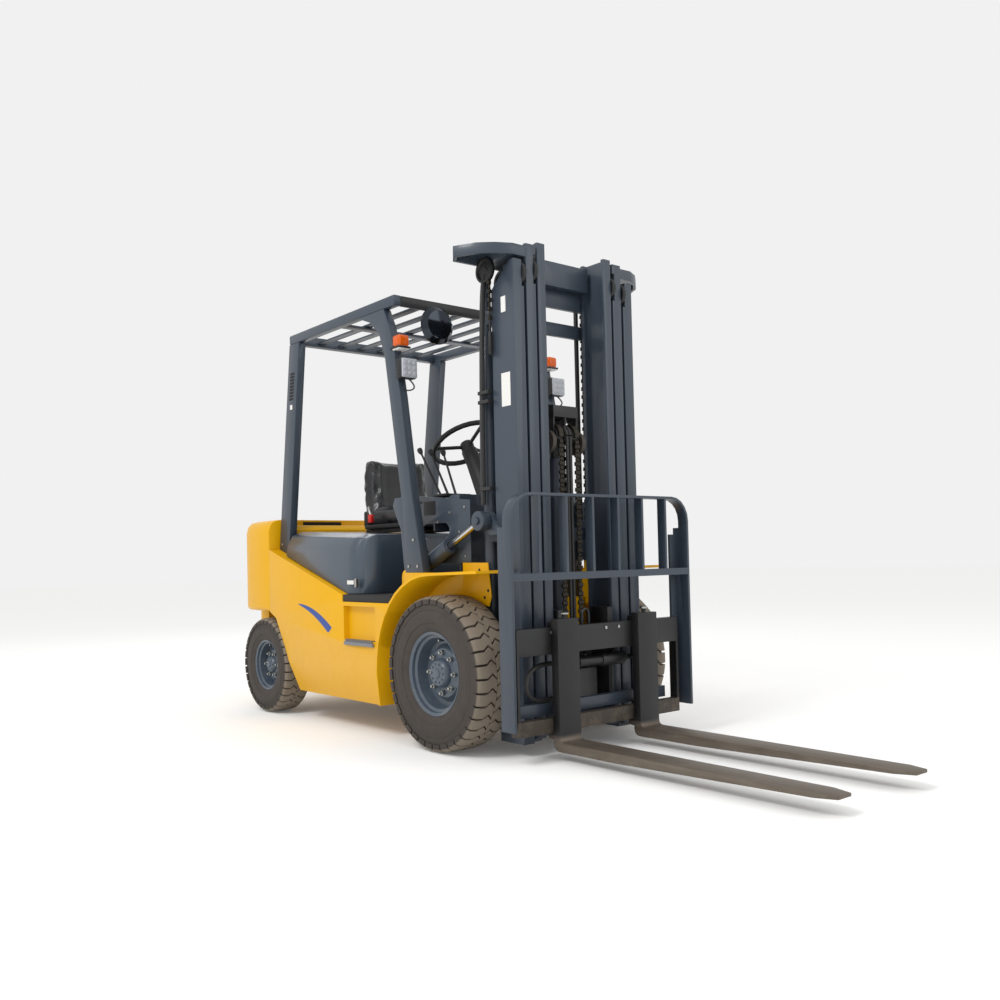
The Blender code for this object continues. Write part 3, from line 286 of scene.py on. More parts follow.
def plainFinish(name, colour, roughness, metallic=0.0, glow=0.0, grain=0.003):
    made, tree, shader, place = newFinish(name)
    cloud = addNode(tree, "ShaderNodeTexNoise", {"Scale": 1.0 / grain, "Detail": 4.0}, {"Vector": place})
    shader.inputs["Metallic"].default_value = metallic
    darker = "".join(f"{int(int(colour[at:at + 2], 16) * 0.86):02x}" for at in (0, 2, 4))
    tree.links.new(mixColours(tree, cloud.outputs["Fac"], colour, darker), shader.inputs["Base Color"])
    rough = addNode(tree, "ShaderNodeMapRange",
                    {"To Min": max(roughness - 0.06, 0.02), "To Max": roughness + 0.08},
                    {"Value": cloud.outputs["Fac"]})
    tree.links.new(rough.outputs["Result"], shader.inputs["Roughness"])
    if glow:
        shader.inputs["Emission Color"].default_value = toLinear(colour)
        shader.inputs["Emission Strength"].default_value = glow
    return made


# Two-pack enamel sprayed on steel: deep colour, a light orange peel, dust low down
yellowEnamel = coatedFinish("yellowEnamel", ("dfa800", "d8a000", "a8842c"), 0.36, 0.12, dusty=0.05)
yellowEnamel.node_tree.nodes["Principled BSDF"].inputs["Specular IOR Level"].default_value = 0.2
slateEnamel = coatedFinish("slateEnamel", ("343e4b", "2e3843", "55534f"), 0.40, 0.2, dusty=0.3)
hoodEnamel = coatedFinish("hoodEnamel", ("3a4653", "34404c", "5c5a54"), 0.30, 0.4, dusty=0.1)
blackEnamel = coatedFinish("blackEnamel", ("0e0f11", "151618", "443c34"), 0.45, 0.1)
rimEnamel = coatedFinish("rimEnamel", ("46525f", "3e4955", "7c7468"), 0.36, 0.3)
# Rolled steel whose paint has worn away to a brown-grey skin
wornSteel = coatedFinish("wornSteel", ("4f473e", "393430", "7a6e60"), 0.55, 0.0, 0.35, 0.003, 0.0006, 0.7)
# Sand-cast iron, left as cast: a rough dark skin under the dirt
castIron = coatedFinish("castIron", ("3c3e40", "2e3032", "5a5148"), 0.62, 0.0, 0.3, 0.004, 0.0008, 0.8)
# Moulded rubber floor mat, matt with a little road dust
matRubber = coatedFinish("matRubber", ("222224", "2c2b29", "5a5248"), 0.75, 0.0, 0.0, 0.003, 0.0006, 0.2)
# Glass-filled nylon mouldings, matt with a fine spark-eroded grain
mouldedNylon = coatedFinish("mouldedNylon", ("0d0e10", "141517", "2e2c29"), 0.50, 0.0, 0.0, 0.002, 0.0004, 0.3)
# Extruded rubber hose, satin along its length
hosePipe = coatedFinish("hosePipe", ("1a1a1b", "252423", "4a443c"), 0.48, 0.1, 0.0, 0.004, 0.0003, 0.3)
# Expanded vinyl over foam, semi-matt with a leather grain
seatVinyl = coatedFinish("seatVinyl", ("0f1014", "17181c", "2e2d2c"), 0.36, 0.2, 0.0, 0.0022, 0.0009, 0.0)
# Metals: ground and plated rod, zinc-plated fixings, oiled chain plate
hardChrome = plainFinish("hardChrome", "d5d6d8", 0.12, 1.0)
zincBolt = plainFinish("zincBolt", "b9bab5", 0.34, 1.0, grain=0.004)
oiledChain = plainFinish("oiledChain", "3a352e", 0.42, 0.75, grain=0.006)
stepGrey = plainFinish("stepGrey", "8d9094", 0.5, 0.6, grain=0.005)  # galvanised and walked on
# Moulded acrylic lenses, glossy all over
amberLens = plainFinish("amberLens", "d95a00", 0.16, glow=0.08)
clearLens = plainFinish("clearLens", "b9bdc4", 0.10)
tailRed = plainFinish("tailRed", "b3141a", 0.18)
mirrorGlass = plainFinish("mirrorGlass", "3a3f46", 0.06, 0.9)  # silvered glass, seen from its dark side
# Printed vinyl film and small plastic parts, satin
labelWhite = plainFinish("labelWhite", "eceae6", 0.45)
labelBlack = plainFinish("labelBlack", "17181a", 0.38)
stripeBlue = plainFinish("stripeBlue", "23489a", 0.32)
redPlastic = plainFinish("redPlastic", "d2201c", 0.34)
slotDark = plainFinish("slotDark", "0c0c0d", 0.7)  # unlit inside of an opening


def treadRubber(name, centre, radius):
    # Dust lies on the lugs' tops, the grooves stay dark, and the walls are scuffed brown-black
    made, tree, shader, place = newFinish(name)
    centred = addNode(tree, "ShaderNodeMapping",
                      {"Location": (0.0, -centre.y, -centre.z), "Scale": (0.0, 1.0, 1.0)}, {"Vector": place})
    reach = addNode(tree, "ShaderNodeVectorMath", {"operation": "LENGTH"}, {0: centred.outputs["Vector"]})
    top = addNode(tree, "ShaderNodeMapRange", {"From Min": radius - 0.018, "From Max": radius - 0.012},
                  {"Value": reach.outputs["Value"]})
    cloud = addNode(tree, "ShaderNodeTexNoise", {"Scale": 14.0, "Detail": 9.0, "Roughness": 0.7},
                    {"Vector": place})
    walls = mixColours(tree, cloud.outputs["Fac"], "292521", "48403a")
    dust = mixColours(tree, cloud.outputs["Fac"], "6b6155", "877c6d")
    tree.links.new(mixColours(tree, top.outputs["Result"], walls, dust), shader.inputs["Base Color"])
    shader.inputs["Roughness"].default_value = 0.78
    # Grit of 4 mm, coarser than the real dust so that it shows
    grit = addNode(tree, "ShaderNodeTexNoise", {"Scale": 260.0, "Detail": 3.0}, {"Vector": place})
    bump = addNode(tree, "ShaderNodeBump", {"Strength": 0.4, "Distance": 0.0008},
                   {"Height": grit.outputs["Fac"]})
    tree.links.new(bump.outputs["Normal"], shader.inputs["Normal"])
    return made


def forgedSteel():
    # Forged fork steel: shank painted black, blade worn bare with scratches along it
    made, tree, shader, place = newFinish("forgedSteel")
    spread = addNode(tree, "ShaderNodeMapping", {"Scale": (160.0, 5.0, 60.0)}, {"Vector": place})
    lines = addNode(tree, "ShaderNodeTexNoise", {"Scale": 1.0, "Detail": 6.0, "Roughness": 0.65},
                    {"Vector": spread.outputs["Vector"]})
    cloud = addNode(tree, "ShaderNodeTexNoise", {"Scale": 7.0, "Detail": 6.0}, {"Vector": place})
    bare = mixColours(tree, lines.outputs["Fac"], "4a433c", "9c9284")
    bare = mixColours(tree, cloud.outputs["Fac"], bare, "5c5147")
    split = addNode(tree, "ShaderNodeSeparateXYZ", links={"Vector": place})
    height = addNode(tree, "ShaderNodeMapRange", {"From Min": 0.085, "From Max": 0.105},
                     {"Value": split.outputs["Z"]})
    tree.links.new(mixColours(tree, height.outputs["Result"], bare, "0f0f11"), shader.inputs["Base Color"])
    metal = addNode(tree, "ShaderNodeMapRange", {"To Min": 0.7, "To Max": 0.0},
                    {"Value": height.outputs["Result"]})
    tree.links.new(metal.outputs["Result"], shader.inputs["Metallic"])
    rough = addNode(tree, "ShaderNodeMapRange", {"To Min": 0.42, "To Max": 0.62},
                    {"Value": lines.outputs["Fac"]})
    tree.links.new(rough.outputs["Result"], shader.inputs["Roughness"])
    bump = addNode(tree, "ShaderNodeBump", {"Strength": 0.4, "Distance": 0.0006},
                   {"Height": lines.outputs["Fac"]})
    tree.links.new(bump.outputs["Normal"], shader.inputs["Normal"])
    return made


forkSteel = forgedSteel()
print("finishes made")


# Camera, floor and light

cameraPlace = {"where": (-3.0158, -3.5937, 0.8322), "yaw": 38.688, "pitch": 1.352, "roll": -1.3045,
               "lens": 34.968, "shift": (0.0209, 0.0348)}
studioLights = {  # place, size in metres, power in watts
    "keyLight": ((-5.5, -1.0, 6.0), 2.2, 230),
    "frontLight": ((2.5, -6.5, 4.0), 3.5, 60),
    "backLight": ((2.0, 5.5, 5.0), 4.0, 40),
}


def setCamera():
    yaw, pitch, roll = [math.radians(cameraPlace[key]) for key in ("yaw", "pitch", "roll")]
    ahead = Vector((math.sin(yaw) * math.cos(pitch), math.cos(yaw) * math.cos(pitch), math.sin(pitch)))
    right = Vector((math.cos(yaw), -math.sin(yaw), 0))
    over = right.cross(ahead)
    across = right * math.cos(roll) + over * math.sin(roll)
    above = over * math.cos(roll) - right * math.sin(roll)
    lens = bpy.data.cameras.new("camera")
    lens.sensor_width = 36
    lens.lens = cameraPlace["lens"]
    lens.shift_x, lens.shift_y = cameraPlace["shift"]
    lens.clip_end = 200
    camera = bpy.data.objects.new("camera", lens)
    scene.collection.objects.link(camera)
    turn = Matrix((across, above, -ahead)).transposed().to_4x4()
    camera.matrix_world = Matrix.Translation(cameraPlace["where"]) @ turn
    scene.camera = camera


def addLight(name, where, size, power, aim=(0, 0, 0.9)):
    made = bpy.data.lights.new(name, "AREA")
    made.energy = power
    made.size = size
    lamp = bpy.data.objects.new(name, made)
    scene.collection.objects.link(lamp)
    lamp.location = where
    lamp.rotation_euler = (Vector(aim) - Vector(where)).to_track_quat("-Z", "Y").to_euler()


setCamera()
for name, settings in studioLights.items():
    addLight(name, *settings)
world = bpy.data.worlds.new("studio")
scene.world = world
world.use_nodes = True
world.node_tree.nodes["Background"].inputs["Color"].default_value = (1, 1, 1, 1)
world.node_tree.nodes["Background"].inputs["Strength"].default_value = 0.88
scene.view_settings.view_transform = "Standard"
deselectAll()
bpy.ops.mesh.primitive_plane_add(size=80, location=(0, 0, -0.001))
floor = applyPlace(bpy.context.object)
floor.name = "floor"
paleFloor, _, floorShader, _ = newFinish("paleFloor")
floorShader.inputs["Base Color"].default_value = toLinear("f6f6f5")
floorShader.inputs["Roughness"].default_value = 1.0
floorShader.inputs["Emission Color"].default_value = (1, 1, 1, 1)
floorShader.inputs["Emission Strength"].default_value = 0.06
floorShader.inputs["Specular IOR Level"].default_value = 0.0
floor.data.materials.append(paleFloor)
print("camera and light set")


# CAD shells with softened edges

shellSize = {"merge": 0.00002, "flatAngle": 0.5, "edge": 0.003}


def camelName(node):
    words = node.split("_")
    return words[0] + "".join(word.capitalize() for word in words[1:])


def softShell(node, finish, edge):
    piece = bpy.data.objects.new("shell", frame["nodes"][node].data.copy())
    scene.collection.objects.link(piece)
    makeActive(piece)
    bpy.ops.mesh.customdata_custom_splitnormals_clear()
    bpy.ops.object.mode_set(mode="EDIT")
    bpy.ops.mesh.select_all(action="SELECT")
    bpy.ops.mesh.remove_doubles(threshold=shellSize["merge"])
    bpy.ops.mesh.dissolve_limited(angle_limit=math.radians(shellSize["flatAngle"]))
    bpy.ops.object.mode_set(mode="OBJECT")
    if edge:
        softenEdges(piece, edge)
    finishPiece(piece, camelName(node) + "Shell", bodyOf[node], finish)
    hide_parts(node)
    return piece


shellFinishes = {
    "chassis_frame": yellowEnamel, "counterweight": yellowEnamel, "radiator_cover": yellowEnamel,
    "floor_plate": matRubber, "engine_block": castIron, "cowl": slateEnamel, "hood": hoodEnamel,
    "steering_column": mouldedNylon, "guard_front_leg_left": slateEnamel,
    "guard_front_leg_right": slateEnamel, "guard_rear_leg_left": slateEnamel,
    "guard_rear_leg_right": slateEnamel, "drive_axle": castIron, "steer_axle": castIron,
    "steer_knuckle_left": castIron, "steer_knuckle_right": castIron, "mast_outer": slateEnamel,
    "mast_middle": slateEnamel, "mast_inner": slateEnamel, "lift_barrel_left": slateEnamel,
    "lift_barrel_right": slateEnamel, "free_lift_barrel": slateEnamel, "crosshead": blackEnamel,
    "carriage": blackEnamel, "side_shifter": blackEnamel, "load_backrest": slateEnamel,
    "fork_left": forkSteel, "fork_right": forkSteel, "tilt_barrel_left": slateEnamel,
    "tilt_barrel_right": slateEnamel, "steering_wheel": mouldedNylon,
}
shellEdges = {"hood": 0.018, "counterweight": 0.022, "load_backrest": 0.002,
              "steering_wheel": 0.0, "fork_left": 0.004, "fork_right": 0.004}
shells = {node: softShell(node, finish, shellEdges.get(node, shellSize["edge"]))
          for node, finish in shellFinishes.items()}


def cutMesh(work, place, normal):
    bmesh.ops.bisect_plane(work, geom=work.verts[:] + work.edges[:] + work.faces[:], plane_co=place,
                           plane_no=normal, dist=0.0002)


def cutAcross(piece, height):
    work = bmesh.new()
    work.from_mesh(piece.data)
    cutMesh(work, (0, 0, height), (0, 0, 1))
    work.to_mesh(piece.data)
    work.free()


# The side's X, the end's Y, the radius, and the way in from that end
cornerSizes = {"hood": (0.530, 0.431, 0.13, 1), "counterweight": (0.560, 1.921, 0.20, -1)}


def roundCorner(piece, sideX, endY, radius, inward):
    # Cuts are laid over both upright corners, then their points are drawn on to an arc
    work = bmesh.new()
    work.from_mesh(piece.data)
    for index in range(6):
        reach = radius * math.tan(math.radians(9 * index)) if index < 5 else radius * 0.999
        cutMesh(work, (sideX - radius + reach, 0, 0), (1, 0, 0))
        cutMesh(work, (radius - reach - sideX, 0, 0), (1, 0, 0))
        cutMesh(work, (0, endY + inward * (radius - reach), 0), (0, 1, 0))
    for vert in work.verts:
        across = abs(vert.co.x) - sideX + radius
        along = radius - (vert.co.y - endY) * inward
        if across > 0 and along > 0:
            share = max(across, along) / math.hypot(across, along)
            vert.co.x = math.copysign(sideX - radius + across * share, vert.co.x)
            vert.co.y = endY + inward * (radius - along * share)
    work.to_mesh(piece.data)
    work.free()
    makeActive(piece)
    bpy.ops.object.shade_smooth_by_angle(angle=math.radians(35))


for node, size in cornerSizes.items():
    roundCorner(shells[node], *size)

# The counterweight narrows towards the tail
taper = {"start": 1.36, "length": 0.56, "share": 0.085}
for vert in shells["counterweight"].data.vertices:
    if vert.co.y > taper["start"]:
        vert.co.x *= 1 - taper["share"] * (vert.co.y - taper["start"]) / taper["length"]

# The lower side panels lean in below a crease, from behind the front wheel to the tail
crease = {"height": 0.305, "lean": 0.022, "foot": 0.153, "side": 0.535, "start": 0.15}
cutAcross(shells["chassis_frame"], crease["height"])
for vert in shells["chassis_frame"].data.vertices:
    outside = abs(vert.co.x) > crease["side"] and vert.co.y > crease["start"]
    if vert.co.z < crease["height"] - 0.001 and outside:
        share = (crease["height"] - vert.co.z) / (crease["height"] - crease["foot"])
        vert.co.x -= math.copysign(crease["lean"] * share, vert.co.x)


def addSecondFinish(piece, finish, wanted):
    piece.data.materials.append(finish)
    for face in piece.data.polygons:
        if wanted(face):
            face.material_index = 1


paintEnds = {"shifterHook": 0.172, "carriageFoot": 0.265, "rodEye": 0.090}
cutAcross(shells["side_shifter"], paintEnds["shifterHook"])
addSecondFinish(shells["side_shifter"], wornSteel, lambda face: face.center.z < paintEnds["shifterHook"])
addSecondFinish(shells["carriage"], slateEnamel, lambda face: face.center.z < paintEnds["carriageFoot"])
for node in ("tilt_rod_left", "tilt_rod_right"):
    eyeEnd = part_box(node)[0].y + paintEnds["rodEye"]
    addSecondFinish(softShell(node, hardChrome, 0.002), slateEnamel, lambda face: face.center.y < eyeEnd)
print("shells made")


# Overhead guard

roofSize = {"railIn": 0.452, "railOut": 0.495, "slats": 6, "slatWide": 0.047, "slatLow": 2.034, "slatHigh": 2.044,
            "slatGap": 0.010, "barHalf": 0.456, "rearBar": 0.050, "midBar": (0.640, 0.700, 2.022),
            "headerHalf": 0.454, "headerDeep": 0.018}
roofLow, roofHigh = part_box("guard_roof")
roofParts = [sideBlock(sign, (roofSize["railIn"], roofSize["railOut"]), (roofLow.y, roofHigh.y),
                       (roofLow.z, roofHigh.z), 0.007, 3) for sign in (1, -1)]
barHalf, (midStart, midEnd, midLow) = roofSize["barHalf"], roofSize["midBar"]
roofParts.append(addBlock((-barHalf, roofHigh.y - roofSize["rearBar"], roofLow.z),
                          (barHalf, roofHigh.y, roofHigh.z), 0.003))
roofParts.append(addBlock((-barHalf, midStart, midLow), (barHalf, midEnd, roofSize["slatLow"]), 0.003))
slatPitch = 2 * roofSize["railIn"] / (roofSize["slats"] + 1)
for index in range(roofSize["slats"]):
    x, half = -roofSize["railIn"] + slatPitch * (index + 1), roofSize["slatWide"] / 2
    roofParts.append(addBlock((x - half, roofLow.y + roofSize["slatGap"], roofSize["slatLow"]),
                              (x + half, roofHigh.y - roofSize["slatGap"], roofSize["slatHigh"]), 0.003))
roofPiece = finishPiece(joinPieces(roofParts), "guardRoofSlats", "chassis", slateEnamel)
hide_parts("guard_roof")
header = addBlock((-roofSize["headerHalf"], roofLow.y, roofLow.z),
                  (roofSize["headerHalf"], roofLow.y + roofSize["headerDeep"], roofHigh.z - 0.002), 0.003)
finishPiece(header, "guardRoofHeader", "chassis", blackEnamel)

# Outlines in Y and Z, and the two faces' distances from the middle
legFoot = {"outline": [(0.224, 1.085), (0.205, 1.120), (0.120, 1.120), (0.050, 0.790), (0.138, 0.785),
                       (0.162, 0.975), (0.200, 1.040)], "faces": (0.468, 0.476)}
innerGuard = {"outline": [(-0.180, 0.812), (-0.355, 0.810), (-0.374, 0.665), (-0.358, 0.622), (-0.180, 0.650)],
              "faces": (0.373, 0.379), "holes": ((-0.298, 0.779), (-0.330, 0.660), (-0.355, 0.690)),
              "holeFaces": (0.3785, 0.3798), "holeRadius": 0.007}
for sign, word in bothSides:
    start, end = legFoot["faces"]
    finishPiece(addPlate(legFoot["outline"], sign * start, sign * end), "legFoot" + word, "chassis", slateEnamel)
    start, end = innerGuard["faces"]
    finishPiece(addPlate(innerGuard["outline"], sign * start, sign * end), "innerGuard" + word, "chassis",
                yellowEnamel)
    start, end = innerGuard["holeFaces"]
    holes = [addDrum((sign * start, y, z), (sign * end, y, z), innerGuard["holeRadius"], 12)
             for y, z in innerGuard["holes"]]
    finishPiece(joinPieces(holes), "guardHoles" + word, "chassis", slotDark)

leverSize = {"foot": (0.095, 1.125), "firstX": -0.195, "pitch": 0.045, "rod": 0.0065, "rodTip": 0.0048,
             "tips": ((0.195, 1.351), (0.235, 1.353), (0.262, 1.360)),
             "knob": ((0, -0.022), (0.008, -0.020), (0.0135, -0.004), (0.0125, 0.008), (0, 0.013))}
levers = [addBlock((-0.318, 0.020, 1.121), (-0.162, 0.120, 1.136), 0.004)]
for index, tipPlace in enumerate(leverSize["tips"]):
    x = leverSize["firstX"] - leverSize["pitch"] * index
    foot, tip = Vector((x, *leverSize["foot"])), Vector((x, *tipPlace))
    levers.append(addDrum(foot, tip, leverSize["rod"], 12, 0.0, leverSize["rodTip"]))
    levers.append(spinSection(leverSize["knob"], tip, (tip - foot).normalized(), 16))
leverPiece = finishPiece(joinPieces(levers), "controlLeverSet", "chassis", mouldedNylon, 50)
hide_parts("control_levers")
print("guard made")


# Tyres and rims

wheelMiddle = {"front": 0.478, "rear": 0.487}
frontTyre = {"radius": 0.337, "half": 0.095, "bead": 0.178, "lugs": 36, "depth": 0.017}
rearTyre = {"radius": 0.262, "half": 0.0775, "bead": 0.136, "lugs": 34, "depth": 0.014}
lugSize = {"root": 0.006, "start": 0.03, "core": 0.004, "wide": 0.84, "edge": 0.0018}


def wheelCentre(node, side):
    low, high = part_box(node)
    return Vector((side * wheelMiddle[node.split("_")[0]], (low.y + high.y) / 2, (low.z + high.z) / 2))


def tyreSection(size):
    radius, half, bead = size["radius"], size["half"], size["bead"]
    crown = radius - size["depth"]
    wall = crown - bead
    outer = [(crown, 0.0), (crown, half * 0.60), (crown - 0.004, half * 0.80), (crown - 0.012, half * 0.93),
             (bead + wall * 0.70, half * 0.985), (bead + wall * 0.685, half * 0.965),
             (bead + wall * 0.66, half * 0.99), (bead + wall * 0.45, half), (bead + wall * 0.30, half * 0.985),
             (bead + wall * 0.285, half * 0.955), (bead + wall * 0.26, half * 0.96),
             (bead + wall * 0.12, half * 0.90), (bead + 0.004, half * 0.84), (bead, half * 0.78)]
    return outer + [(reach, -along) for reach, along in reversed(outer[1:])]


def addLug(size, hand):
    # One bar of the zig-zag tread, drawn out from the middle to the shoulder
    radius, half = size["radius"], size["half"]
    pitch = math.tau * radius / size["lugs"]
    high = size["depth"] + lugSize["root"]
    deselectAll()
    bpy.ops.mesh.primitive_cube_add(size=1, location=(hand * half * lugSize["start"], 0, radius - high / 2),
                                    scale=(lugSize["core"], pitch * lugSize["wide"], high))
    piece = applyPlace(bpy.context.object)
    bpy.ops.object.mode_set(mode="EDIT")
    work = bmesh.from_edit_mesh(piece.data)
    bpy.ops.mesh.select_all(action="DESELECT")
    for face in work.faces:
        if face.normal.x * hand > 0.9:
            face.select_set(True)
    work.select_flush(True)
    bmesh.update_edit_mesh(piece.data)
    # Each step goes out, round and down
    steps = ((half * 0.20, pitch * 0.34, 0.0), (half * 0.26, -pitch * 0.34, -0.001),
             (half * 0.32, 0.0, -0.003), (half * 0.18, 0.0, -0.010))
    for across, ahead, down in steps:
        bpy.ops.mesh.extrude_region_move(TRANSFORM_OT_translate={"value": (hand * across, ahead, down)})
    bpy.ops.mesh.select_all(action="SELECT")
    bpy.ops.mesh.normals_make_consistent(inside=False)
    bpy.ops.object.mode_set(mode="OBJECT")
    for vert in piece.data.vertices:  # the bar is bent round the axle
        bend = vert.co.y / radius
        vert.co.y, vert.co.z = vert.co.z * math.sin(bend), vert.co.z * math.cos(bend)
    softenEdges(piece, lugSize["edge"], 1, 25)
    return piece


def makeTyre(node, size, side):
    centre = wheelCentre(node, side)
    parts = [spinSection(tyreSection(size), centre, (1, 0, 0), 96)]
    for hand in (1, -1):
        lug = addLug(size, hand)
        for index in range(size["lugs"]):
            turn = math.tau * (index + (0.5 if hand < 0 else 0.0)) / size["lugs"]
            parts.append(copyMoved(lug, Matrix.Translation(centre) @ Matrix.Rotation(turn, 4, "X")))
        bpy.data.objects.remove(lug)
    rubber = treadRubber(node.split("_")[0] + "Rubber", centre, size["radius"])
    piece = finishPiece(joinPieces(parts), camelName(node) + "Tread", bodyOf[node], rubber)
    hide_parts(node)


frontRim = {"seat": 0.176, "half": 0.078, "disc": 0.016, "hub": 0.062, "hubOut": 0.068, "bolts": 10, "nuts": 8}
rearRim = {"seat": 0.134, "half": 0.062, "disc": 0.010, "hub": 0.046, "hubOut": 0.052, "bolts": 8, "nuts": 6}
rimBolt = {"radius": 0.005, "tall": 0.005}
rimNut = {"radius": 0.011, "tall": 0.016, "stud": 0.006, "studOut": 0.010}


def makeRim(node, size, side):
    centre, ahead = wheelCentre(node, side), Vector((side, 0, 0))
    seat, half, disc, hub, out = [size[key] for key in ("seat", "half", "disc", "hub", "hubOut")]
    section = [(0, out), (hub * 0.30, out), (hub * 0.36, out - 0.006), (hub * 0.84, out - 0.008),
               (hub, out - 0.018), (hub * 1.06, disc + 0.016), (hub * 1.30, disc + 0.010),
               (seat * 0.60, disc + 0.008), (seat * 0.72, disc - 0.014), (seat * 0.83, disc - 0.010),
               (seat * 0.855, half * 0.30), (seat * 0.875, half * 0.72), (seat * 0.94, half * 0.80),
               (seat * 0.955, half * 0.97), (seat * 1.03, half * 1.05), (seat * 1.045, half * 0.98),
               (seat * 1.0, half * 0.86), (seat * 0.985, -half * 0.9), (seat * 0.90, -half),
               (seat * 0.84, -0.006), (0, -0.006)]
    parts = [spinSection(section, centre, ahead, 64)]
    steel = []

    def ring(count, reach, level):
        turns = [math.tau * index / count for index in range(count)]
        return [centre + Vector((0, math.cos(turn), math.sin(turn))) * reach + ahead * level for turn in turns]

    for place in ring(size["bolts"], hub * 0.66, out - 0.008):
        parts.append(addDrum(place - ahead * 0.004, place + ahead * rimBolt["tall"], rimBolt["radius"], 6, 0.001))
    for place in ring(size["nuts"], hub * 1.42, disc + 0.008):
        steel.append(addDrum(place - ahead * 0.004, place + ahead * rimNut["tall"], rimNut["radius"], 6, 0.001))
        steel.append(addDrum(place, place + ahead * (rimNut["tall"] + rimNut["studOut"]), rimNut["stud"], 10))
    valve = centre + Vector((0, 0, seat * 0.80))
    steel.append(addDrum(valve + ahead * (disc - 0.004), valve + ahead * (disc + 0.034), 0.0045, 8))
    name = camelName(node)
    piece = finishPiece(joinPieces(parts), name + "Disc", bodyOf[node], rimEnamel)
    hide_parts(node)
    finishPiece(joinPieces(steel), name + "Nuts", bodyOf[node], zincBolt)


for side, word in bothSides:
    for end, tyre, rim in (("front", frontTyre, frontRim), ("rear", rearTyre, rearRim)):
        makeTyre(f"{end}_tyre_{word.lower()}", tyre, side)
        makeRim(f"{end}_rim_{word.lower()}", rim, side)
print("wheels made")


# Seat

seatPads = {"seatCushion": {"low": (-0.215, 0.480, 1.022), "high": (0.215, 0.890, 1.085), "swell": 0.024},
            "seatBack": {"low": (-0.206, 0.835, 1.060), "high": (0.206, 0.925, 1.385), "swell": 0.022}}
padSize = {"corner": 0.028, "voxel": 0.008, "pressure": 4, "steps": 20}
sewnChannel = {"x": 0.150, "half": 0.014, "depth": 0.007}


def stuffPad(name, upright):
    size = seatPads[name]
    low, high = size["low"], size["high"]
    pad = addBlock(low, high)
    makeActive(pad)
    bpy.ops.object.mode_set(mode="EDIT")
    bpy.ops.mesh.select_all(action="SELECT")
    bpy.ops.mesh.subdivide(number_cuts=3)
    bpy.ops.object.mode_set(mode="OBJECT")
    for vert in pad.data.vertices:
        share = (vert.co.z - low[2]) / (high[2] - low[2])
        if upright:  # it leans back, narrows upwards, and its wings come forward
            vert.co.y += 0.040 * share + 0.018 * math.sin(math.pi * share)
            vert.co.x *= 1 - 0.12 * share ** 3
            vert.co.y -= 0.030 * (vert.co.x / high[0]) ** 2
        else:  # its sides rise
            vert.co.z += 0.020 * (vert.co.x / high[0]) ** 2
    softenEdges(pad, padSize["corner"], 3)
    addModifier(pad, "REMESH", mode="VOXEL", voxel_size=padSize["voxel"])
    rest = [vert.co.copy() for vert in pad.data.vertices]
    cloth = pad.modifiers.new("cloth", "CLOTH")
    cloth.settings.use_pressure = True
    cloth.settings.uniform_pressure_force = padSize["pressure"]
    cloth.settings.effector_weights.gravity = 0
    for number in range(1, padSize["steps"] + 1):
        scene.frame_set(number)
    bpy.ops.object.modifier_apply(modifier="cloth")
    scene.frame_set(1)
    for vert, start in zip(pad.data.vertices, rest):
        move = vert.co - start
        if move.length > size["swell"]:
            vert.co = start + move.normalized() * size["swell"]
    for vert in pad.data.vertices:  # the channel is sewn in after the stuffing
        away = abs(abs(vert.co.x) - sewnChannel["x"])
        groove = min((away / sewnChannel["half"]) ** 2, 1.0)
        if groove < 1.0:
            vert.co += vert.normal * -sewnChannel["depth"] * (1 - groove)
    addModifier(pad, "SMOOTH", factor=0.5, iterations=2)
    addModifier(pad, "SUBSURF", levels=1, render_levels=1)
    finishPiece(pad, name, "engine_hood", seatVinyl, 60)


stuffPad("seatCushion", False)
stuffPad("seatBack", True)
seatBase = joinPieces([
    addBlock((-0.195, 0.500, 1.0), (0.195, 0.925, 1.024), 0.006),
    addBlock((-0.170, 0.560, 0.977), (-0.140, 0.950, 1.002), 0.003),
    addBlock((0.140, 0.560, 0.977), (0.170, 0.950, 1.002), 0.003),
    addBlock((-0.190, 0.900, 1.010), (0.190, 0.945, 1.10), 0.012),
])
finishPiece(seatBase, "seatBase", "engine_hood", mouldedNylon)
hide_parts("driver_seat")
finishPiece(addBlock((-0.250, 0.775, 1.030), (-0.228, 0.806, 1.075), 0.005), "beltBuckle", "engine_hood",
            redPlastic)
finishPiece(addTube([(-0.238, 0.790, 1.070), (-0.242, 0.805, 1.098), (-0.232, 0.820, 1.115)], 0.007),
            "beltStalk", "engine_hood", zincBolt)
print("seat made")


# Mast: rollers, leaf chains, hoses and sheaves

rollerSize = {"radius": 0.056, "half": 0.0095, "pocketHalf": 0.062, "pocketY": (-0.556, -0.522)}
rollerPlaces = (  # name, body, X, height, the node that is cut, and its flange's X
    ("stageTwoRollers", "mast", 0.3055, 2.035, "mast_outer", 0.304),
    ("stageThreeRollers", "mast_stage_two", 0.2385, 2.055, "mast_middle", 0.237),
)


def addRoller(x, y, z):
    section = [(0, 0.5), (0.25, 0.5), (0.30, 0.2), (0.72, 0.2), (0.80, 1.0), (0.97, 1.0), (1.0, 0.7)]
    full = section + [(reach, -along) for reach, along in reversed(section)]
    return spinSection([(reach * rollerSize["radius"], along * rollerSize["half"]) for reach, along in full],
                       (x, y, z), (1, 0, 0), 40)


def cutPocket(piece, pocket):
    # The flange is cut away so that the roller shows
    makeActive(piece)
    step = piece.modifiers.new("pocket", "BOOLEAN")
    step.operation, step.solver, step.object = "DIFFERENCE", "EXACT", pocket
    bpy.ops.object.modifier_apply(modifier=step.name)
    bpy.data.objects.remove(pocket)


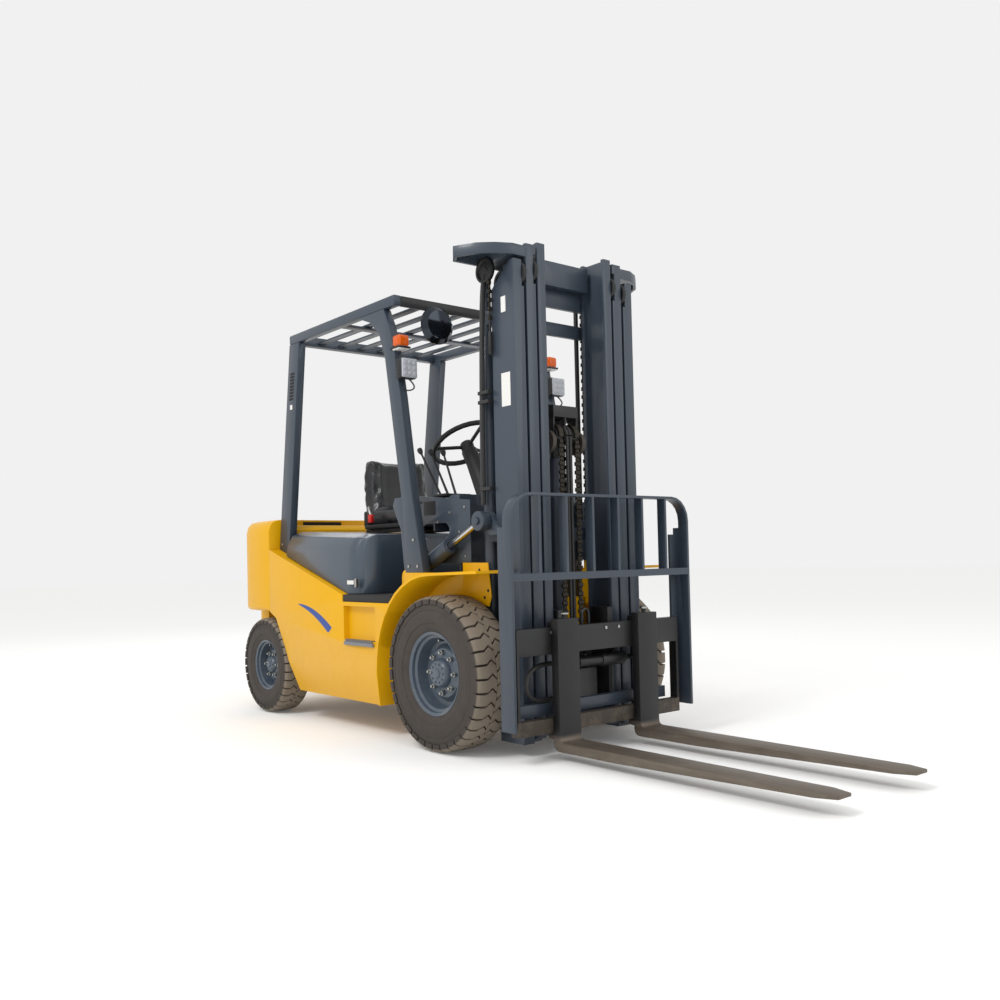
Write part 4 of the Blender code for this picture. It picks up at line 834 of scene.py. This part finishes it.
for name, body, middle, height, node, flange in rollerPlaces:
    tall = (height - rollerSize["pocketHalf"], height + rollerSize["pocketHalf"])
    for sign in (1, -1):
        pocket = sideBlock(sign, (flange - 0.006, flange + 0.0125), rollerSize["pocketY"], tall, 0.0)
        cutPocket(shells[node], pocket)
    finishPiece(joinPieces([addRoller(sign * middle, -0.5035, height) for sign in (1, -1)]), name, body,
                mouldedNylon)

chainSize = {"pitch": 0.019, "outer": 0.0065, "inner": 0.0048, "inset": 0.005}


def addChain(x, y, low, high, width):
    # An outer and an inner link, each with its pin, are repeated up the run
    parts = []
    pitch = chainSize["pitch"]
    for reach, thick, base in ((width / 2, chainSize["outer"], low),
                               (width / 2 - chainSize["inset"], chainSize["inner"], low + pitch)):
        parts.append(addBlock((x - reach, y - thick, base + 0.0015),
                              (x + reach, y + thick, base + pitch * 1.06), 0.0025, 1))
        parts.append(addBlock((x - reach * 0.30, y - thick - 0.0012, base + 0.0045),
                              (x + reach * 0.30, y + thick + 0.0012, base + pitch * 0.66), 0.001, 1))
    piece = joinPieces(parts)
    count = max(1, int((high - low - pitch * 0.5) / (pitch * 2)))
    addModifier(piece, "ARRAY", count=count, use_relative_offset=False, use_constant_offset=True,
                constant_offset_displace=(0, 0, pitch * 2))
    return piece


# The free lift: two chains and two pipes run from the carriage over the crosshead's sheaves
liftRun = {"x": (-0.0975, -0.0025), "rearX": (-0.1075, 0.0075), "pipeX": (-0.060, -0.040), "y": -0.535,
           "pipeY": -0.532, "low": 0.350, "high": 1.355, "pipe": 0.0075}
sheave = {"y": -0.488, "z": 1.360, "chainRadius": 0.047, "pipeRadius": 0.044, "links": 10,
          "sideX": (-0.138, 0.038)}
frontRuns = joinPieces([addChain(x, liftRun["y"], liftRun["low"], liftRun["high"], 0.030) for x in liftRun["x"]])
finishPiece(frontRuns, "liftChainFront", "lift_carriage", oiledChain)
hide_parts("lift_chains")
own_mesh(frontRuns)
pipes = joinPieces([addTube([(x, liftRun["pipeY"], z) for z in (liftRun["low"], 0.70, 1.05, liftRun["high"])],
                            liftRun["pipe"]) for x in liftRun["pipeX"]])
finishPiece(pipes, "liftHoses", "lift_carriage", hosePipe)
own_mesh(pipes)
wrap = []
for x in liftRun["x"]:
    for index in range(sheave["links"]):
        turn = Matrix.Rotation(-math.pi * index / (sheave["links"] - 1), 4, "X")
        link = addBlock((x - 0.013, -0.006, -0.011), (x + 0.013, 0.006, 0.011), 0.003, 1)
        link.data.transform(Matrix.Translation((0, sheave["y"], sheave["z"])) @ turn
                            @ Matrix.Translation((0, -sheave["chainRadius"], 0)))
        wrap.append(link)
drumSection = [(0, 0.010), (0.014, 0.010), (0.020, 0.006), (0.040, 0.006), (0.046, 0.010), (0.052, 0.010),
               (0.052, -0.010), (0, -0.010)]
drums = [spinSection(drumSection, (x, sheave["y"], sheave["z"] - 0.030), (1, 0, 0), 40) for x in sheave["sideX"]]
finishPiece(joinPieces(drums), "sideSheaves", "lift_head", wornSteel)
finishPiece(joinPieces(wrap), "chainWrap", "lift_head", oiledChain)
loops = [addTube([(x, sheave["y"] - sheave["pipeRadius"] * math.cos(turn),
                   sheave["z"] + sheave["pipeRadius"] * math.sin(turn)) for turn in halfTurn], liftRun["pipe"])
         for x in liftRun["pipeX"]]
finishPiece(joinPieces(loops), "hoseLoop", "lift_head", hosePipe)
for name, body in (("rearChainLow", "mast_stage_three"), ("rearChainHigh", "lift_head")):
    back = joinPieces([addChain(x, -0.441, 0.80, liftRun["high"], 0.022) for x in liftRun["rearX"]])
    finishPiece(back, name, body, oiledChain)

# The lifting gear of the middle stage, with X measured from the middle
wingX = 0.374
stageX = {"chain": 0.246, "pipe": 0.212, "sheave": 0.229}
for sign, word in bothSides:
    side = sign * wingX
    chain = addChain(side, -0.402, 1.850, 2.050, 0.018)
    finishPiece(chain, "sideChain" + word, "mast_stage_two", oiledChain)
    anchor = [addDrum((side, -0.402, 1.700), (side, -0.402, 1.800), 0.0095, 16, 0.002),
              addDrum((side, -0.402, 1.790), (side, -0.402, 1.860), 0.006, 12)]
    finishPiece(joinPieces(anchor), "chainAnchor" + word, "mast_stage_two", mouldedNylon)
    hose = addTube([(side, -0.330, 1.060), (side, -0.332, 1.30), (side, -0.338, 1.60), (side, -0.350, 1.90),
                    (side, -0.358, 2.02), (side - sign * 0.006, -0.372, 2.070)], 0.0115)
    clamps = [addBlock((side - 0.014, -0.392, z), (side + 0.014, -0.322, z + 0.016), 0.003)
              for z in (1.12, 1.495, 1.535)]
    finishPiece(joinPieces([hose] + clamps), "mastHose" + word, "mast_stage_two", hosePipe)
    chain = addChain(sign * stageX["chain"], -0.334, 1.00, 2.055, 0.020)
    finishPiece(chain, "stageChain" + word, "mast_stage_two", oiledChain)
    pipe = addTube([(sign * stageX["pipe"], -0.330, z) for z in (1.00, 1.40, 1.80, 2.05)], 0.0105)
    finishPiece(pipe, "stagePipe" + word, "mast_stage_two", hosePipe)
    for name, place in (("stageSheave", (sign * stageX["sheave"], -0.325, 2.055)),
                        ("wingSheave", (side, -0.377, 2.070))):
        finishPiece(addRoller(*place), name + word, "mast_stage_two", mouldedNylon)
print("mast gear made")


# Lamps, indicators, mirror

lampSize = {"x": 0.470, "half": 0.045, "low": 1.665, "high": 1.760, "fins": 6, "finLow": 1.672,
            "finPitch": 0.0155, "cellAcross": 0.025, "cellUp": 0.026, "middle": 1.7125}
for sign, word in bothSides:
    node = "front_lights_" + word.lower()
    low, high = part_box(node)
    x, front = sign * lampSize["x"], low.y
    housing = [addBlock((x - lampSize["half"], front + 0.018, lampSize["low"]),
                        (x + lampSize["half"], front + 0.060, lampSize["high"]), 0.009, 3)]
    for index in range(lampSize["fins"]):
        z = lampSize["finLow"] + lampSize["finPitch"] * index
        housing.append(addBlock((x - 0.040, front + 0.055, z), (x + 0.040, front + 0.074, z + 0.004), 0.001, 1))
    # The lamp's bracket, then the indicator's
    housing.append(addBlock((x - 0.007, front + 0.052, 1.690), (x + 0.007, high.y - 0.001, 1.710), 0.002))
    housing.append(addBlock((x - 0.034, front + 0.048, 1.812), (x + 0.034, high.y - 0.002, 1.822), 0.003))
    lamp = finishPiece(joinPieces(housing), "lampHousing" + word, "chassis", mouldedNylon)
    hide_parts(node)
    cells = [addBlock((x - 0.042, front + 0.010, 1.668), (x + 0.042, front + 0.022, 1.757), 0.008, 3)]
    for column in (-1, 0, 1):
        for row in (-1, 0, 1):
            place = Vector((x + lampSize["cellAcross"] * column, front + 0.008,
                            lampSize["middle"] + lampSize["cellUp"] * row))
            cells.append(addDrum(place + Vector((0, 0.006, 0)), place, 0.0115, 14, 0.002, 0.009))
    finishPiece(joinPieces(cells), "lampCells" + word, "chassis", clearLens)
    lead = addTube([(x + 0.010, front + 0.040, 1.668), (x + 0.030, front + 0.020, 1.640),
                    (x + 0.040, front + 0.025, 1.615), (x + 0.010, front + 0.055, 1.612),
                    (x, front + 0.075, 1.625)], 0.0035)
    finishPiece(lead, "lampLead" + word, "chassis", hosePipe)
    foot = addBlock((x - 0.031, front + 0.051, 1.806), (x + 0.031, front + 0.111, 1.824), 0.006, 2)
    finishPiece(foot, "indicatorFoot" + word, "chassis", labelWhite)
    amber = [addBlock((x - 0.030, front + 0.052, 1.822), (x + 0.030, front + 0.110, 1.876), 0.012, 3)]
    amber += [addBlock((x - 0.031, front + 0.058, z), (x + 0.031, front + 0.108, z + 0.002), 0.0008, 1)
              for z in (1.834, 1.844, 1.854, 1.864)]
    finishPiece(joinPieces(amber), "indicator" + word, "chassis", amberLens)

mirrorSection = [(0, 0.020), (0.060, 0.016), (0.088, 0.004), (0.092, 0.0), (0.092, -0.010), (0.070, -0.030),
                 (0, -0.036)]
mirrorX = -0.245
finishPiece(spinSection(mirrorSection, (mirrorX, 0.160, 1.955), (0, 1, 0), 48), "roundMirror", "chassis",
            mirrorGlass)
finishPiece(addTube([(mirrorX, 0.160, 2.030), (mirrorX, 0.158, 2.000), (mirrorX, 0.150, 1.975)], 0.007),
            "mirrorStalk", "chassis", mouldedNylon)
print("lamps made")


# Side panels: step, stripe, labels, bolts, latch

stepSize = {"bars": 16, "start": 0.290, "pitch": 0.015, "bar": 0.007}
stripeSize = {"strips": 36, "start": 1.010, "long": 0.335, "high": 0.612, "wide": 0.050}
slotSize = {"count": 9, "pitch": 0.017, "high": 0.012, "lean": 0.0026}
boltPlaces = {"cowl": ((-0.190, 0.84), (-0.190, 1.06), (0.150, 1.10), (0.010, 1.00), (-0.080, 1.04),
                       (-0.150, 0.95)),
              "legs": ((0.000, 0.800), (0.070, 0.800), (0.030, 0.92), (1.230, 0.90), (1.300, 0.93))}
tailLamp = {"x": 0.29, "heights": (0.90, 0.825), "radius": 0.032}
for sign, word in bothSides:
    tread = [sideBlock(sign, (0.535, 0.572), (0.275, 0.535), (0.424, 0.440))]
    for index in range(stepSize["bars"]):
        y = stepSize["start"] + stepSize["pitch"] * index
        tread.append(sideBlock(sign, (0.540, 0.572), (y, y + stepSize["bar"]), (0.438, 0.452), 0.0012))
    finishPiece(joinPieces(tread), "stepTread" + word, "chassis", stepGrey)
    # The stripe is laid in strips: it sweeps down and widens towards the front, then closes to a point
    stripe = []
    for index in range(stripeSize["strips"]):
        share = index / (stripeSize["strips"] - 1)
        y = stripeSize["start"] - stripeSize["long"] * share
        z = stripeSize["high"] - 0.010 * share - 0.100 * share ** 2
        tall = 0.004 + stripeSize["wide"] * share ** 0.8 * (1 if share < 0.9 else (1 - share) * 10)
        stripe.append(sideBlock(sign, (0.5600, 0.5606), (y - 0.0100, y), (z - tall, z), 0.0))
    finishPiece(joinPieces(stripe), "sideStripe" + word, "chassis", stripeBlue)
    label = sideBlock(sign, (0.4952, 0.4960), (1.160, 1.185), (1.665, 1.690), 0.0)
    finishPiece(label, "legLabel" + word, "chassis", labelWhite)
    slots = []
    for index in range(slotSize["count"]):
        y, z = 1.128 + slotSize["lean"] * index, 1.852 - slotSize["pitch"] * index
        slots.append(sideBlock(sign, (0.4945, 0.4956), (y, y + 0.046), (z, z + slotSize["high"]), 0.0))
    finishPiece(joinPieces(slots), "legSlots" + word, "chassis", slotDark)
    labels = [sideBlock(sign, (0.3612, 0.3618), (-0.492, -0.462), (1.871, 1.938), 0.0),
              sideBlock(sign, (0.3612, 0.3618), (-0.512, -0.455), (1.470, 1.612), 0.0)]
    finishPiece(joinPieces(labels), "mastLabels" + word, "mast", labelWhite)
    plate = sideBlock(sign, (0.3692, 0.3700), (0.030, 0.120), (1.035, 1.100), 0.0)
    finishPiece(plate, "dataPlate" + word, "chassis", labelBlack)
    vent = sideBlock(sign, (0.096, 0.344), (1.3385, 1.3415), (1.040, 1.058), 0.0)
    finishPiece(vent, "rearVent" + word, "chassis", slotDark)
    bolts = [addDrum((sign * 0.366, y, z), (sign * 0.3735, y, z), 0.0065, 6, 0.001) for y, z in boltPlaces["cowl"]]
    bolts += [addDrum((sign * 0.493, y, z), (sign * 0.500, y, z), 0.008, 6, 0.001) for y, z in boltPlaces["legs"]]
    finishPiece(joinPieces(bolts), "panelBolts" + word, "chassis", zincBolt)
    catch = sideBlock(sign, (0.520, 0.536), (0.470, 0.484), (0.700, 0.745), 0.002)
    finishPiece(catch, "hoodCatch" + word, "engine_hood", zincBolt)
    label = sideBlock(sign, (0.5255, 0.5310), (0.500, 0.560), (0.715, 0.735), 0.001)
    finishPiece(label, "hoodLabel" + word, "engine_hood", labelWhite)
    lamps = []
    for height in tailLamp["heights"]:  # a ray from behind finds the rounded tail
        _, spot, _, _ = shells["counterweight"].ray_cast(Vector((sign * tailLamp["x"], 3.0, height)),
                                                         Vector((0, -1, 0)))
        lamps.append(addDrum(spot - Vector((0, 0.012, 0)), spot + Vector((0, 0.007, 0)), tailLamp["radius"], 28,
                             0.004))
    finishPiece(joinPieces(lamps), "tailLamps" + word, "chassis", tailRed)
print("panels detailed")


# Carriage, side shifter and forks

shifterBolts = {"x": (-0.30, -0.22, 0.02, 0.10, 0.30), "y": (-0.656, -0.664), "z": 0.520, "radius": 0.008}
liftingEye = {"x": -0.058, "half": 0.020, "y": -0.615, "foot": 0.530, "spring": 0.575, "rise": 0.030}
forkPin = {"x": 0.2414, "y": -0.679, "z": 0.572,
           "section": ((0, 0.030), (0.010, 0.030), (0.018, 0.026), (0.018, 0.020), (0.007, 0.016), (0.007, 0.0),
                       (0, 0.0))}
bolts = [addDrum((x, shifterBolts["y"][0], shifterBolts["z"]), (x, shifterBolts["y"][1], shifterBolts["z"]),
                 shifterBolts["radius"], 6, 0.001) for x in shifterBolts["x"]]
finishPiece(joinPieces(bolts), "shifterBolts", "shifter", zincBolt)
arch = [(liftingEye["x"] + liftingEye["half"] * math.cos(turn), liftingEye["y"],
         liftingEye["spring"] + liftingEye["rise"] * math.sin(turn)) for turn in halfTurn]
eyeFeet = [(liftingEye["x"] + sign * liftingEye["half"], liftingEye["y"], liftingEye["foot"]) for sign in (1, -1)]
finishPiece(addTube([eyeFeet[0]] + arch + [eyeFeet[1]], 0.0055), "liftingEye", "shifter", blackEnamel)
cover = addDrum((0.045, -0.5922, 0.375), (0.195, -0.5922, 0.375), 0.0285, 28, 0.004)
finishPiece(cover, "shiftCylinderSleeve", "lift_carriage", blackEnamel)
hose = addTube([(-0.250, -0.604, 0.385), (-0.300, -0.606, 0.388), (-0.372, -0.607, 0.372), (-0.402, -0.607, 0.315),
                (-0.385, -0.607, 0.250), (-0.320, -0.607, 0.232), (-0.250, -0.604, 0.240)], 0.010, 3)
finishPiece(hose, "shiftHose", "lift_carriage", hosePipe)
for sign, word in bothSides:
    pin = spinSection(forkPin["section"], (sign * forkPin["x"], forkPin["y"], forkPin["z"]), (0, 0, 1), 24)
    finishPiece(pin, "forkPin" + word, word.lower() + "_fork", zincBolt)
print("carriage detailed")
